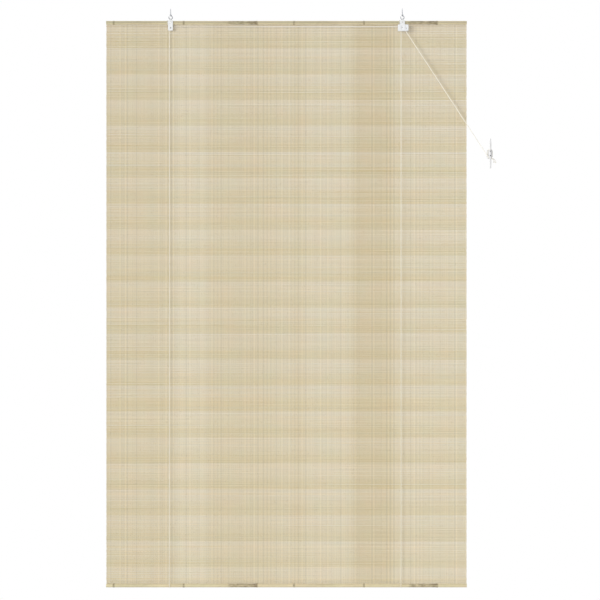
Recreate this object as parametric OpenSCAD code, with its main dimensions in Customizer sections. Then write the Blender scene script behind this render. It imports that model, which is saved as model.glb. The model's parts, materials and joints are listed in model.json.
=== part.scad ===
// Bamboo roll-up blind: a mat of split reeds hangs between two canes.
// Two screw hooks in the ceiling carry it by strap hangers over the top cane.
// Each lift cord runs from the top cane down the back, under the bottom cane and up the front.
// The left cord turns over a pulley and crosses to the cord lock on the right hanger.
// Both cords leave the lock together and are wound on a cleat on the wall.
// Frame: the origin lies midway between the hooks on the ceiling plane, +Z is up,
// +X is to the right seen from the room, and the front faces -Y. Lengths are in millimetres.

/* [Blind] */
// Width across the reeds
blind_w = 1400; // [1000:10:1800]
// Height over both canes
blind_h = 2200; // [1200:10:2600]
// Distance between the two screw hooks
hook_spacing = 900; // [700:10:940]

/* [Reed mat] */
// Spacing of the reeds
reed_pitch = 9; // [7:0.1:12]
// Thickness of a reed, front to back
reed_t = 2.4; // [1.6:0.1:3]
// Thickness of the weave in the groove between two reeds
reed_web = 1; // [0.6:0.1:1.4]
// Height of the lower edge of a reed, from the groove to its thickest line
reed_edge = 1.2; // [0.6:0.1:2]
// Number of reeds between two light slits
slit_every = 2; // [2:1:12]
// Height of a light slit
slit_h = 1.6; // [0.6:0.1:2]
// Closed weave between a slit and the edge of the mat
slit_margin = 10; // [6:1:60]

/* [Canes] */
// Diameter of both canes
cane_d = 14; // [12:0.5:18]
// Diameter of the hollow at the cut ends
cane_bore_d = 7; // [4:0.5:9]
// Depth of the hollow at the cut ends
cane_bore_l = 18; // [8:1:24]
// Length of a swollen joint of the cane
joint_l = 10; // [6:1:16]
// Swelling of a joint over the cane's radius
joint_rise = 0.7; // [0.3:0.1:1.2]
// First joint of a length of cane, measured from the left hook
joint_1 = -221; // [-230:1:-200]
// Second joint of a length of cane, measured from the left hook
joint_2 = 51; // [40:1:80]
// Third joint of a length of cane, measured from the left hook
joint_3 = 335; // [320:1:360]
// Distance after which the joints repeat
joint_run = 700; // [640:10:740]

/* [Screw hooks] */
// Diameter of the wood screw
screw_d = 4; // [3:0.1:5]
// Length of the screw above the collar, without its point
screw_l = 22; // [15:1:35]
// Length of the screw's point
screw_tip_l = 6; // [4:0.5:9]
// Diameter of the screw's point
screw_tip_d = 0.6; // [0.4:0.1:1]
// Diameter of the collar
collar_d = 9; // [7:0.5:14]
// Thickness of the collar
collar_t = 2; // [1:0.1:3]
// Straight wire between the collar and the loop
hook_neck = 2; // [1:0.1:6]
// Radius of the loop at the middle of the wire
hook_loop_r = 6.8; // [6:0.1:10]
// Diameter of the hook's wire
hook_wire_d = 3.4; // [2.5:0.1:3.8]
// Angle left open at the mouth of the hook
hook_mouth = 70; // [55:1:90]
// Diameter of the beads at the hook's tip and under its neck
hook_bead_d = 3.8; // [3.6:0.1:4.2]

/* [Hangers] */
// Width of the strap
strap_w = 19; // [16:0.5:24]
// Thickness of the strap
strap_t = 1.6; // [1.2:0.1:2]
// Clearance between the strap and the cane
strap_gap = 0.3; // [0.2:0.05:0.5]
// Length of the front leg below the middle of the cane
strap_front = 31.6; // [30:0.2:40]
// Length of the back leg below the middle of the cane
strap_back = 10; // [4:0.5:16]
// Corner radius at the foot of the front leg
strap_corner = 2.5; // [1:0.5:4]
// Thickness of the lug that hangs in the hook
lug_t = 2; // [1.5:0.1:2.5]
// Diameter of the hole in the lug
lug_hole_d = 5; // [4.8:0.1:6]
// Rim of the lug round its hole
lug_rim = 2.2; // [1.6:0.1:3]
// Solid metal between the lug's hole and the saddle
lug_land = 1.2; // [0.8:0.1:3]
// Diameter of the screw that holds a strap to the cane
fix_d = 3; // [2:0.1:4]
// Length of that screw in the cane
fix_l = 8; // [5:0.5:10]
// Diameter of its head
fix_head_d = 6; // [5:0.1:8]
// Height of its head
fix_head_h = 1.5; // [1:0.1:2.5]
// Width of the driver slot
fix_slot_w = 0.9; // [0.6:0.1:1.2]
// Depth of the driver slot
fix_slot_depth = 0.8; // [0.4:0.1:1]

/* [Cords] */
// Diameter of the cords
cord_d = 2.2; // [1.8:0.1:2.6]
// Clearance between a cord and what it passes round
cord_gap = 0.3; // [0.2:0.05:0.5]
// Clearance between two cords side by side
cord_side_gap = 0.2; // [0.1:0.05:0.4]
// Diameter of a knot
knot_d = 4.8; // [4:0.1:6]
// Length of a knot
knot_l = 5; // [4:0.1:8]
// Distance from a strap's edge to the tie of its lift cord
tie_off = 1.5; // [1:0.1:4]

/* [Pulley] */
// Diameter over the pulley's flanges
pulley_d = 12.4; // [11.6:0.2:14]
// Diameter at the bottom of the pulley's groove
groove_d = 6; // [5:0.1:7]
// Depth of both axles below the middle of the cane
axle_drop = 21.3; // [20:0.1:23]
// Diameter of both axles
axle_d = 2.5; // [2:0.1:3]
// Radial clearance of a turning piece on its axle
axle_fit = 0.05; // [0.02:0.01:0.1]
// Radial clearance of a fixed shank in its hole
shank_fit = 0.05; // [0.02:0.01:0.1]
// Clearance beside a turning piece
side_play = 0.25; // [0.15:0.05:0.4]
// Diameter of the axle's head on the strap
axle_head_d = 7; // [5:0.1:8]
// Height of that head
axle_head_h = 1.2; // [0.8:0.1:2]
// Diameter of the axle's riveted tail
axle_tail_d = 4.4; // [3.6:0.1:5]
// Thickness of the riveted tail
axle_tail_t = 0.5; // [0.3:0.1:0.8]

/* [Cord lock] */
// Width of the lock
lock_w = 41; // [40:0.5:48]
// Height of the lock
lock_h = 25; // [24.5:0.5:30]
// Top of the lock below the middle of the cane
lock_drop = 9.3; // [8:0.1:10]
// Offset of the lock to the right of its hook
lock_shift = 2.5; // [2:0.1:4]
// Thickness of the lock's side walls
lock_wall = 1.8; // [1.2:0.1:2]
// Thickness of the lock's back wall
lock_back = 1.5; // [1.2:0.1:2.5]
// Corner radius of the lock
lock_corner = 3; // [1:0.5:5]
// Thickness of the lock's front cover
cover_t = 1.8; // [1.5:0.1:2.5]
// Width of the two sunk windows in the cover
window_w = 4.5; // [4:0.1:6]
// Height of the two sunk windows
window_h = 15.5; // [10:0.5:17]
// Depth of the two sunk windows
window_depth = 0.9; // [0.5:0.1:1]
// Offset of the roller to the right of the hook
roller_shift = -1.4; // [-2.5:0.1:-1]
// Diameter over the roller's flanges
roller_d = 11.6; // [11.2:0.1:12]
// Diameter of the roller's drum
drum_d = 6; // [5.4:0.1:6.4]
// Thickness of a flange of the roller
flange_t = 0.5; // [0.4:0.1:0.8]
// Diameter of the two pin heads in the windows
pin_head_d = 3.8; // [3:0.1:3.9]
// Height of the two pin heads
pin_head_h = 0.6; // [0.3:0.1:0.8]
// Distance of the pawl's pin along the cord, from the roller
pawl_along = 11.3; // [10.5:0.1:12]
// Distance of the pawl's pin from the middle of the cord
pawl_off = 6.9; // [6.5:0.1:7.3]
// Diameter of the pawl's hub
pawl_hub_d = 5.6; // [4.6:0.1:6]
// Diameter of the pawl's pin
pawl_pin_d = 2.2; // [1.8:0.1:2.6]
// Length of the pawl's toothed face
pawl_face = 5; // [4:0.1:5.5]
// Number of teeth on the pawl
pawl_teeth = 5; // [3:1:7]
// Depth of the pawl's teeth
tooth_h = 0.6; // [0.3:0.1:0.9]
// Reach of the pawl's weight past its pin
pawl_tail = 6; // [5.5:0.1:6.2]
// Height of the pawl's weight
pawl_tail_h = 4; // [3:0.1:5]
// Start of the anvil along the cord, from the roller
anvil_start = 8; // [7.5:0.1:9]
// Length of the anvil along the cord
anvil_l = 6; // [4:0.1:6.5]
// Thickness of the anvil
anvil_t = 4; // [2:0.1:4.5]
// Diameter of the rivets that hold the lock to its strap
rivet_d = 2.4; // [1.8:0.1:3]
// Diameter of the rivets' heads
rivet_head_d = 4; // [3:0.1:4.4]
// Height of the rivets' heads
rivet_head_h = 0.8; // [0.4:0.1:1]
// Distance between the two rivets
rivet_spacing = 11; // [8:0.1:13]
// Rivets below the top of the lock
rivet_drop = 4.2; // [4:0.1:4.6]

/* [Cleat] */
// Distance of the cleat from the blind's right edge
cleat_side = 90; // [60:1:200]
// Middle of the cleat below the ceiling
cleat_drop = 540; // [400:5:900]
// Wall behind the middle of the canes
wall_gap = 14; // [13:0.5:18]
// Length over the horns
cleat_l = 116; // [90:1:140]
// Diameter of the horns at the middle
horn_d = 8.4; // [7:0.1:10]
// Diameter of the horns near their tips
horn_tip_d = 6; // [4:0.1:7]
// Width of the neck
neck_w = 15; // [12:0.5:18]
// Height of the neck
neck_h = 32; // [28:0.5:40]
// Height of the horns' middle over the base
neck_l = 28; // [26:0.5:34]
// Width of the base
base_w = 22; // [18:0.5:28]
// Height of the base
base_h = 38; // [34:0.5:48]
// Thickness of the base
base_t = 3.5; // [2:0.1:5]
// Diameter of the two screw holes
cleat_hole_d = 4; // [3:0.1:5]
// Distance between the two screw holes
cleat_hole_spacing = 17; // [14:0.5:20]
// Diameter of the countersinks
cleat_sink_d = 7; // [6:0.1:8]
// Depth of the countersinks
cleat_sink_l = 2.5; // [1.5:0.1:3]
// Clearance between the horns and the first turn of cord
horn_gap = 1.1; // [0.4:0.1:2]

/* [Hidden] */
$fn = 64;

// Length by which a cut runs past the face that it opens
overrun = 1;
// Number of sides and the angle between two rings of a cord's tube
cord_sides = 8;
ring_step = 15;

// Heights, worked down from the ceiling through hook, lug, strap and cane
cane_r = cane_d / 2;
cord_r = cord_d / 2;
hook_x = hook_spacing / 2;
loop_top_z = -collar_t - hook_neck;
loop_z = loop_top_z - hook_loop_r;
wire_z = loop_z - hook_loop_r;
lug_z = wire_z + hook_wire_d / 2 + strap_gap - lug_hole_d / 2;
saddle_r = cane_r + strap_gap;
saddle_out_r = saddle_r + strap_t;
cane_z = lug_z - lug_hole_d / 2 - lug_land - saddle_out_r;
bottom_z = cane_z + cane_d - blind_h;
axle_z = cane_z - axle_drop;
wire_seat_z = cane_z + saddle_r;

// Reed mat between the canes, with a whole number of reeds
mat_gap = joint_rise + strap_gap;
mat_top_z = cane_z - cane_r - mat_gap;
mat_h = mat_top_z - (bottom_z + cane_r + mat_gap);
reed_count = floor(mat_h / reed_pitch);
reed_step = mat_h / reed_count;
mat_front_y = -reed_t / 2;
slit_l = blind_w - 2 * slit_margin;

// Swollen joints of a cane: places along it, and the form of one joint as shares
joint_places = [for (run = [-1:3]) for (place = [joint_1, joint_2, joint_3])
                let (x = place - hook_x + run * joint_run)
                if (abs(x) < blind_w / 2 - joint_l) x];
joint_l_shares = [-0.5, -0.14, 0, 0.12, 0.5];
joint_rise_shares = [0, 0.7, 0.2, 1, 0];

// Paths of the cords at the pulley, the lock and the canes
groove_r = cord_r + cord_gap;
pulley_pitch_r = groove_d / 2 + groove_r;
tail_back_y = mat_front_y - cord_gap;
pulley_back_y = tail_back_y - axle_tail_t - side_play;
pulley_front_y = -saddle_r + side_play;
pulley_w = pulley_back_y - pulley_front_y;
pulley_y = (pulley_front_y + pulley_back_y) / 2;
bight_r = cane_r + cord_gap + cord_r;
tie_knot_y = cane_r + cord_gap + knot_d / 2;
tie_x = strap_w / 2 + tie_off + cord_r;

// Cord lock, seated on the front of the right strap
drum_w = 2 * cord_d + 3 * cord_side_gap;
roller_w = drum_w + 2 * flange_t;
chamber_depth = roller_w + 2 * side_play;
lock_back_y = -saddle_out_r;
chamber_back_y = lock_back_y - lock_back;
chamber_front_y = chamber_back_y - chamber_depth;
cover_front_y = chamber_front_y - cover_t;
lock_mid_y = (chamber_back_y + chamber_front_y) / 2;
cord_spacing = cord_d + cord_side_gap;
lock_mid = [hook_x + lock_shift, cane_z - lock_drop - lock_h / 2];
roller_pitch_r = drum_d / 2 + cord_gap + cord_r;
lock_axle = [hook_x + roller_shift, axle_z];
rivet_z = cane_z - lock_drop - rivet_drop;
front_cord_y = lock_mid_y - cord_spacing / 2;
rear_cord_y = lock_mid_y + cord_spacing / 2;

// Cleat on the wall, and the turn of cord round its neck
cleat_x = blind_w / 2 + cleat_side;
cleat_z = -cleat_drop;
base_front_y = wall_gap - base_t;
horn_y = base_front_y - neck_l;
neck_straight = neck_h - neck_w;
wind_r = neck_w / 2 + cord_gap + cord_r;
wind_pitch = 2 * cord_spacing;
front_wind_y = horn_y + horn_d / 2 + horn_gap + cord_r;
rear_wind_y = front_wind_y + cord_spacing;
neck_low = [cleat_x, cleat_z - neck_straight / 2];

// Straight pull from the top of the roller to the low left of the neck: direction and normal
pull_span = neck_low - lock_axle;
pull_angle = atan2(pull_span[1], pull_span[0]) - asin((roller_pitch_r + wind_r) / norm(pull_span));
pull_dir = [cos(pull_angle), sin(pull_angle)];
pull_normal = [-sin(pull_angle), cos(pull_angle)];
function pull_point(along, off) =
    lock_axle + pull_normal * (roller_pitch_r + off) + pull_dir * along;
pawl_axis = pull_point(pawl_along, pawl_off);
pawl_reach = pawl_off - cord_r - cord_gap;

// Free tails of the cords at the cleat: steps from the bottom of the turn, and the knots' form
front_tail = [[8, 0, -0.8], [15, 0, -3.5], [20, 0, -8.5], [21.5, 0, -14]];
rear_tail = [[7, 0.6, -1], [12, 1.2, -4], [15, 1.6, -8.5], [15.5, 1.6, -12]];
knot_r_shares = [0, 0.65, 1, 1, 0.65, 0];
knot_l_shares = [0, 0, 0.3, 0.7, 1, 1];

// Extrusion of an outline drawn in Y and Z, centred along X
module along_x(length) {
    rotate([90, 0, 90]) linear_extrude(length, center = true) children();
}

// Extrusion of an outline drawn in X and Z, from its back towards the front
module towards_front(back_y, depth) {
    translate([0, back_y, 0]) rotate([90, 0, 0]) linear_extrude(depth) children();
}

// Round pin or hole along Y, from its back towards the front
module pin_y(x, z, back_y, length, d) {
    translate([x, back_y, z]) rotate([90, 0, 0]) cylinder(d = d, h = length);
}

// Domed head whose flat side lies on a face that looks to the front
module dome_y(x, z, face_y, d, h) {
    dome_r = (d * d / 4 + h * h) / (2 * h);
    translate([x, face_y, z]) rotate([90, 0, 0]) intersection() {
        cylinder(d = d, h = h);
        translate([0, 0, h - dome_r]) sphere(dome_r);
    }
}

// Rectangle with round corners, centred
module round_rect(w, h, r) {
    square([w - 2 * r, h], center = true);
    square([w, h - 2 * r], center = true);
    for (sx = [-1, 1], sz = [-1, 1]) {
        translate([sx * (w / 2 - r), sz * (h / 2 - r)]) circle(r);
    }
}

// Upright slot shape with half round ends, centred
module stadium(w, h) {
    square([w, h - w], center = true);
    for (side = [-1, 1]) {
        translate([0, side * (h - w) / 2]) circle(d = w);
    }
}

// Screw hook: wood screw, collar and a wire loop that is open at its upper left
module screw_hook(x) {
    mouth_end = 90 + hook_mouth;
    translate([x, 0, 0]) {
        cylinder(d = screw_d, h = screw_l);
        translate([0, 0, screw_l]) cylinder(d1 = screw_d, d2 = screw_tip_d, h = screw_tip_l);
        translate([0, 0, -collar_t]) cylinder(d = collar_d, h = collar_t);
        translate([0, 0, loop_top_z]) cylinder(d = hook_wire_d, h = hook_neck);
        translate([0, 0, loop_top_z]) sphere(d = hook_bead_d);
        translate([0, 0, loop_z]) rotate([90, 0, 0]) {
            rotate([0, 0, mouth_end]) rotate_extrude(angle = 360 - hook_mouth)
                translate([hook_loop_r, 0]) circle(d = hook_wire_d);
            translate([hook_loop_r * cos(mouth_end), hook_loop_r * sin(mouth_end), 0])
                sphere(d = hook_bead_d);
        }
    }
}

module left_hook() {
    color("silver") screw_hook(-hook_x);
}

module right_hook() {
    color("silver") screw_hook(hook_x);
}

// Side outline of a strap: half round saddle over the cane with a front and a back leg
module strap_outline() {
    difference() {
        circle(saddle_out_r);
        circle(saddle_r);
        translate([-saddle_out_r, -saddle_out_r]) square([2 * saddle_out_r, saddle_out_r]);
    }
    translate([-saddle_out_r, -strap_front]) square([strap_t, strap_front]);
    translate([saddle_r, -strap_back]) square([strap_t, strap_back]);
}

// Lug on the saddle, with the hole that the hook's wire passes through
module lug_outline() {
    lug_r = lug_hole_d / 2 + lug_rim;
    translate([0, lug_z]) circle(lug_r);
    translate([-lug_r, wire_seat_z]) square([2 * lug_r, lug_z - wire_seat_z]);
}

// Waste at one foot corner of a front leg, cut away to leave it round
module foot_corner() {
    difference() {
        square(strap_corner + overrun);
        circle(strap_corner);
    }
}

module hanger(x, holes) {
    translate([x, 0, 0]) difference() {
        union() {
            translate([0, 0, cane_z]) along_x(strap_w) strap_outline();
            along_x(lug_t) lug_outline();
        }
        translate([0, 0, lug_z]) rotate([0, 90, 0])
            cylinder(d = lug_hole_d, h = lug_t + 2 * overrun, center = true);
        for (side = [-1, 1]) {
            towards_front(-saddle_r + overrun, strap_t + 2 * overrun)
                translate([side * (strap_w / 2 - strap_corner), cane_z - strap_front + strap_corner])
                mirror([side < 0 ? 1 : 0, 0]) mirror([0, 1]) foot_corner();
        }
        for (hole = holes) {
            pin_y(hole[0], hole[1], -saddle_r + overrun, strap_t + 2 * overrun, hole[2]);
        }
    }
}

module left_hanger() {
    color("white") hanger(-hook_x, [[0, cane_z, fix_d + 2 * shank_fit],
                                    [0, axle_z, axle_d + 2 * shank_fit]]);
}

module right_hanger() {
    rivet_hole_d = rivet_d + 2 * shank_fit;
    color("white") hanger(hook_x, [[0, cane_z, fix_d + 2 * shank_fit],
                                   [-rivet_spacing / 2, rivet_z, rivet_hole_d],
                                   [rivet_spacing / 2, rivet_z, rivet_hole_d]]);
}

// Slotted screw through a strap into the cane
module fix_screw(x, turn) {
    pin_y(x, cane_z, -saddle_out_r + fix_l + strap_t, fix_l + strap_t, fix_d);
    difference() {
        dome_y(x, cane_z, -saddle_out_r, fix_head_d, fix_head_h);
        translate([x, -saddle_out_r - fix_head_h, cane_z]) rotate([0, turn, 0])
            cube([fix_head_d, 2 * fix_slot_depth, fix_slot_w], center = true);
    }
}

module hanger_screws() {
    color("gainsboro") {
        fix_screw(-hook_x, 45);
        fix_screw(hook_x, 0);
    }
}

module left_pulley() {
    bore_r = axle_d / 2 + axle_fit;
    color("lightgray") translate([-hook_x, pulley_y, axle_z]) rotate([90, 0, 0]) rotate_extrude()
        difference() {
            translate([bore_r, -pulley_w / 2]) square([pulley_d / 2 - bore_r, pulley_w]);
            translate([pulley_pitch_r, 0]) circle(groove_r);
            translate([pulley_pitch_r, -groove_r]) square([pulley_d / 2, 2 * groove_r]);
        }
}

module pulley_axle() {
    color("dimgray") {
        pin_y(-hook_x, axle_z, tail_back_y, tail_back_y + saddle_out_r, axle_d);
        pin_y(-hook_x, axle_z, tail_back_y, axle_tail_t, axle_tail_d);
        dome_y(-hook_x, axle_z, -saddle_out_r, axle_head_d, axle_head_h);
    }
}

// Anvil that the cords are pressed against, drawn along their straight pull
module anvil_outline() {
    near = -cord_r - cord_gap;
    polygon([pull_point(anvil_start, near), pull_point(anvil_start + anvil_l, near),
             pull_point(anvil_start + anvil_l, near - anvil_t),
             pull_point(anvil_start, near - anvil_t)]);
}

// Lock body: back wall, side walls and roof, open below for the cords and closed by the cover
module lock_housing() {
    inner_w = lock_w - 2 * lock_wall;
    cross_z = axle_z + roller_pitch_r;
    color("whitesmoke") difference() {
        union() {
            difference() {
                towards_front(lock_back_y, lock_back + chamber_depth)
                    translate(lock_mid) round_rect(lock_w, lock_h, lock_corner);
                towards_front(chamber_back_y, chamber_depth + overrun)
                    translate([lock_mid[0] - inner_w / 2, lock_mid[1] - lock_h / 2 - overrun])
                    square([inner_w, lock_h - lock_wall + overrun]);
            }
            towards_front(chamber_back_y, chamber_depth) anvil_outline();
        }
        translate([lock_mid[0] - lock_w / 2, rear_cord_y, cross_z]) rotate([0, 90, 0])
            cylinder(r = 2 * groove_r, h = 4 * lock_wall, center = true);
        pin_y(lock_axle[0], lock_axle[1], lock_back_y + overrun, lock_back + 2 * overrun,
              axle_d + 2 * shank_fit);
        pin_y(pawl_axis[0], pawl_axis[1], lock_back_y + overrun, lock_back + 2 * overrun,
              pawl_pin_d + 2 * shank_fit);
        for (side = [-1, 1]) {
            pin_y(hook_x + side * rivet_spacing / 2, rivet_z, lock_back_y + overrun,
                  lock_back + 2 * overrun, rivet_d + 2 * shank_fit);
        }
    }
}

// Front cover of the lock, with a sunk window round the end of each pin
module lock_cover() {
    floor_y = cover_front_y + window_depth;
    color("white") difference() {
        towards_front(chamber_front_y, cover_t)
            translate(lock_mid) round_rect(lock_w, lock_h, lock_corner);
        for (x = [lock_axle[0], pawl_axis[0]]) {
            towards_front(floor_y, window_depth + overrun)
                translate([x, lock_mid[1]]) stadium(window_w, window_h);
        }
        pin_y(lock_axle[0], lock_axle[1], chamber_front_y + overrun, cover_t + overrun,
              axle_d + 2 * shank_fit);
        pin_y(pawl_axis[0], pawl_axis[1], chamber_front_y + overrun, cover_t + overrun,
              pawl_pin_d + 2 * shank_fit);
    }
}

// Pin across the lock, headed in its window
module lock_pin(place, d) {
    floor_y = cover_front_y + window_depth;
    pin_y(place[0], place[1], lock_back_y, lock_back_y - floor_y, d);
    dome_y(place[0], place[1], floor_y, pin_head_d, pin_head_h);
}

module roller_axle() {
    color("dimgray") lock_pin(lock_axle, axle_d);
}

module pawl_pin() {
    color("dimgray") lock_pin(pawl_axis, pawl_pin_d);
}

module lock_rivets() {
    color("silver") for (side = [-1, 1]) {
        x = hook_x + side * rivet_spacing / 2;
        pin_y(x, rivet_z, -saddle_r, strap_t + lock_back, rivet_d);
        dome_y(x, rivet_z, chamber_back_y, rivet_head_d, rivet_head_h);
        pin_y(x, rivet_z, -saddle_r + rivet_head_h, rivet_head_h, rivet_head_d);
    }
}

// Roller that both cords turn over, side by side between its flanges
module lock_roller() {
    bore_r = axle_d / 2 + axle_fit;
    color("lightgray") translate([lock_axle[0], lock_mid_y, lock_axle[1]]) rotate([90, 0, 0])
        rotate_extrude() difference() {
            translate([bore_r, -roller_w / 2]) square([roller_d / 2 - bore_r, roller_w]);
            translate([drum_d / 2, -drum_w / 2]) square([roller_d / 2, drum_w]);
        }
}

// Pawl outline: hub, toothed face along the cord and a weight that keeps the face on the cord
module pawl_outline() {
    tooth_l = pawl_face / pawl_teeth;
    function face_point(along, reach) = pawl_axis + pull_dir * along - pull_normal * reach;
    teeth = [for (i = [0:pawl_teeth - 1]) each
             [face_point(i * tooth_l, pawl_reach),
              face_point((i + 1) * tooth_l, pawl_reach - tooth_h)]];
    translate(pawl_axis) circle(d = pawl_hub_d);
    polygon(concat([face_point(-pawl_hub_d / 4, 0)], teeth, [face_point(pawl_hub_d / 2, 0)]));
    translate(pawl_axis - [0, pawl_tail_h / 2]) square([pawl_tail, pawl_tail_h]);
}

module lock_pawl() {
    color("goldenrod") difference() {
        towards_front(chamber_back_y - 2 * side_play, chamber_depth - 4 * side_play) pawl_outline();
        pin_y(pawl_axis[0], pawl_axis[1], lock_back_y, lock_back_y - cover_front_y,
              pawl_pin_d + 2 * axle_fit);
    }
}

// Cane lying along X, with swollen joints and hollow cut ends
module cane(z) {
    skin = [for (x = joint_places) for (i = [0:len(joint_l_shares) - 1])
            [cane_r + joint_rise * joint_rise_shares[i], x + joint_l * joint_l_shares[i]]];
    half = blind_w / 2;
    translate([0, 0, z]) rotate([0, 90, 0]) difference() {
        rotate_extrude() polygon(concat([[0, -half], [cane_r, -half]], skin, [[cane_r, half], [0, half]]));
        for (side = [0, 1]) {
            mirror([0, 0, side]) translate([0, 0, half - cane_bore_l])
                cylinder(d = cane_bore_d, h = cane_bore_l + overrun);
        }
    }
}

module top_cane() {
    color("burlywood") difference() {
        cane(cane_z);
        for (side = [-1, 1]) {
            pin_y(side * hook_x, cane_z, -saddle_out_r + fix_l + strap_t, fix_l + strap_t,
                  fix_d + 2 * shank_fit);
        }
    }
}

module bottom_cane() {
    color("burlywood") cane(bottom_z);
}

// One face of the mat's section: each reed swells from its groove and thins towards the next
function reed_face(side) = [for (i = [0:reed_count - 1]) each
    [[side * reed_web / 2, i * reed_step],
     [side * reed_t / 2, i * reed_step + reed_edge]]];
function reversed(list) = [for (i = [len(list) - 1:-1:0]) list[i]];

// Light slits after every so many reeds, and a notch under the top cane for each cord tie
module mat_cuts() {
    notch_h = bight_r + cord_r + cord_gap - cane_r - mat_gap;
    notch_w = cord_d + 2 * cord_gap;
    for (row = [slit_every:slit_every:reed_count - 1]) {
        translate([0, mat_top_z - row * reed_step]) square([slit_l, slit_h], center = true);
    }
    for (x = [-hook_x - tie_x, hook_x - tie_x]) {
        translate([x, mat_top_z]) square([notch_w, 2 * notch_h], center = true);
    }
}

// Mat of reeds: one ridged wall, slit where the weave lets light through
module reed_mat() {
    front = reed_face(-1);
    back = reversed(reed_face(1));
    color("wheat") difference() {
        translate([0, 0, mat_top_z - mat_h]) along_x(blind_w)
            polygon(concat(front, [[-reed_web / 2, mat_h], [reed_web / 2, mat_h]], back));
        towards_front(reed_t, 2 * reed_t) mat_cuts();
    }
}

// Knot with flat ends, its upper end at the given height
module knot(x, y, top_z) {
    translate([x, y, top_z - knot_l]) rotate_extrude() polygon(
        [for (i = [0:len(knot_r_shares) - 1])
         [knot_d / 2 * knot_r_shares[i], knot_l * knot_l_shares[i]]]);
}

// Tie of a lift cord: a loop round the top cane with its knot at the back
module cord_tie(x) {
    translate([x, 0, cane_z]) rotate([0, 90, 0]) rotate_extrude()
        translate([bight_r, 0]) circle(cord_r);
    knot(x, tie_knot_y, cane_z);
}

module left_cord_tie() {
    color("ivory") cord_tie(-hook_x - tie_x);
}

module right_cord_tie() {
    color("ivory") cord_tie(hook_x - tie_x);
}

// Tube of a cord along its points, with flat ends square to the given directions
function unit(v) = v / norm(v);
function ring_dir(points, i, first, last) =
    i == 0 ? first
    : i == len(points) - 1 ? last
    : unit(unit(points[i] - points[i - 1]) + unit(points[i + 1] - points[i]));
function ring(centre, dir, side) =
    let (u = unit(cross(dir, side)), v = cross(dir, u))
    [for (k = [0:cord_sides - 1])
     let (a = 360 * k / cord_sides) centre + cord_r * (cos(a) * u + sin(a) * v)];
module cord_tube(points, side, first, last) {
    count = len(points);
    rings = [for (i = [0:count - 1]) each ring(points[i], ring_dir(points, i, first, last), side)];
    walls = [for (i = [0:count - 2], k = [0:cord_sides - 1])
             let (m = (k + 1) % cord_sides, a = i * cord_sides, b = a + cord_sides)
             [a + k, b + k, b + m, a + m]];
    start_cap = [for (k = [0:cord_sides - 1]) k];
    end_cap = [for (k = [cord_sides - 1:-1:0]) (count - 1) * cord_sides + k];
    polyhedron(rings, concat([start_cap], walls, [end_cap]));
}

// Arc of points in X and Z at one depth, and a lift cord's bight round the bottom cane
function arc(centre, r, from, to, y) =
    let (steps = ceil(abs(to - from) / ring_step))
    [for (i = [0:steps]) let (a = from + (to - from) * i / steps)
     [centre[0] + r * cos(a), y, centre[1] + r * sin(a)]];
function bight(x) =
    [for (a = [0:-ring_step:-180]) [x, bight_r * cos(a), bottom_z + bight_r * sin(a)]];

// Lift cord from its tie down the back, round the bottom cane and up the front
module lift_cord(start_x, x, end_y) {
    points = concat([[start_x, tie_knot_y, cane_z - knot_l]], bight(x), [[x, end_y, axle_z]]);
    cord_tube(points, [1, 0, 0], [0, 0, -1], [0, 0, 1]);
}

module left_lift_cord() {
    color("ivory") lift_cord(-hook_x - tie_x, -hook_x - pulley_pitch_r, pulley_y);
}

module right_lift_cord() {
    color("ivory") lift_cord(hook_x - tie_x, lock_axle[0] - roller_pitch_r, front_cord_y);
}

// One turn round the cleat's neck, moving towards the wall, and then the free tail
function wind_points(start_y) =
    let (from = pull_angle + 270, to = 630, steps = ceil((to - from) / ring_step))
    [for (i = [0:steps])
     let (a = from + (to - from) * i / steps, high = a > 360 && a < 540 ? 1 : 0)
     [neck_low[0] + wind_r * cos(a), start_y + wind_pitch * (a - from) / 360,
      neck_low[1] + high * neck_straight + wind_r * sin(a)]];
function tail_points(wind, steps) = [for (step = steps) wind[len(wind) - 1] + step];

module pull_cord(turns, wind_y, tail) {
    wind = wind_points(wind_y);
    points = concat(turns, wind, tail_points(wind, tail));
    cord_tube(points, [0, 1, 0], [0, 0, 1], [0, 0, -1]);
}

module left_pull_cord() {
    over_pulley = arc([-hook_x, axle_z], pulley_pitch_r, 180, 90, pulley_y);
    over_roller = arc(lock_axle, roller_pitch_r, 90, pull_angle + 90, rear_cord_y);
    color("ivory") pull_cord(concat(over_pulley, over_roller), rear_wind_y, rear_tail);
}

module right_pull_cord() {
    over_roller = arc(lock_axle, roller_pitch_r, 180, pull_angle + 90, front_cord_y);
    color("ivory") pull_cord(over_roller, front_wind_y, front_tail);
}

module end_knot(wind_y, tail) {
    wind = wind_points(wind_y);
    tail_end = wind[len(wind) - 1] + tail[len(tail) - 1];
    knot(tail_end[0], tail_end[1], tail_end[2]);
}

module cord_end_knots() {
    color("ivory") {
        end_knot(front_wind_y, front_tail);
        end_knot(rear_wind_y, rear_tail);
    }
}

// One horn of the cleat, tapering from the middle to a round tip
module horn() {
    cylinder(d1 = horn_d, d2 = horn_tip_d, h = (cleat_l - horn_tip_d) / 2);
    translate([0, 0, (cleat_l - horn_tip_d) / 2]) sphere(d = horn_tip_d);
}

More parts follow.
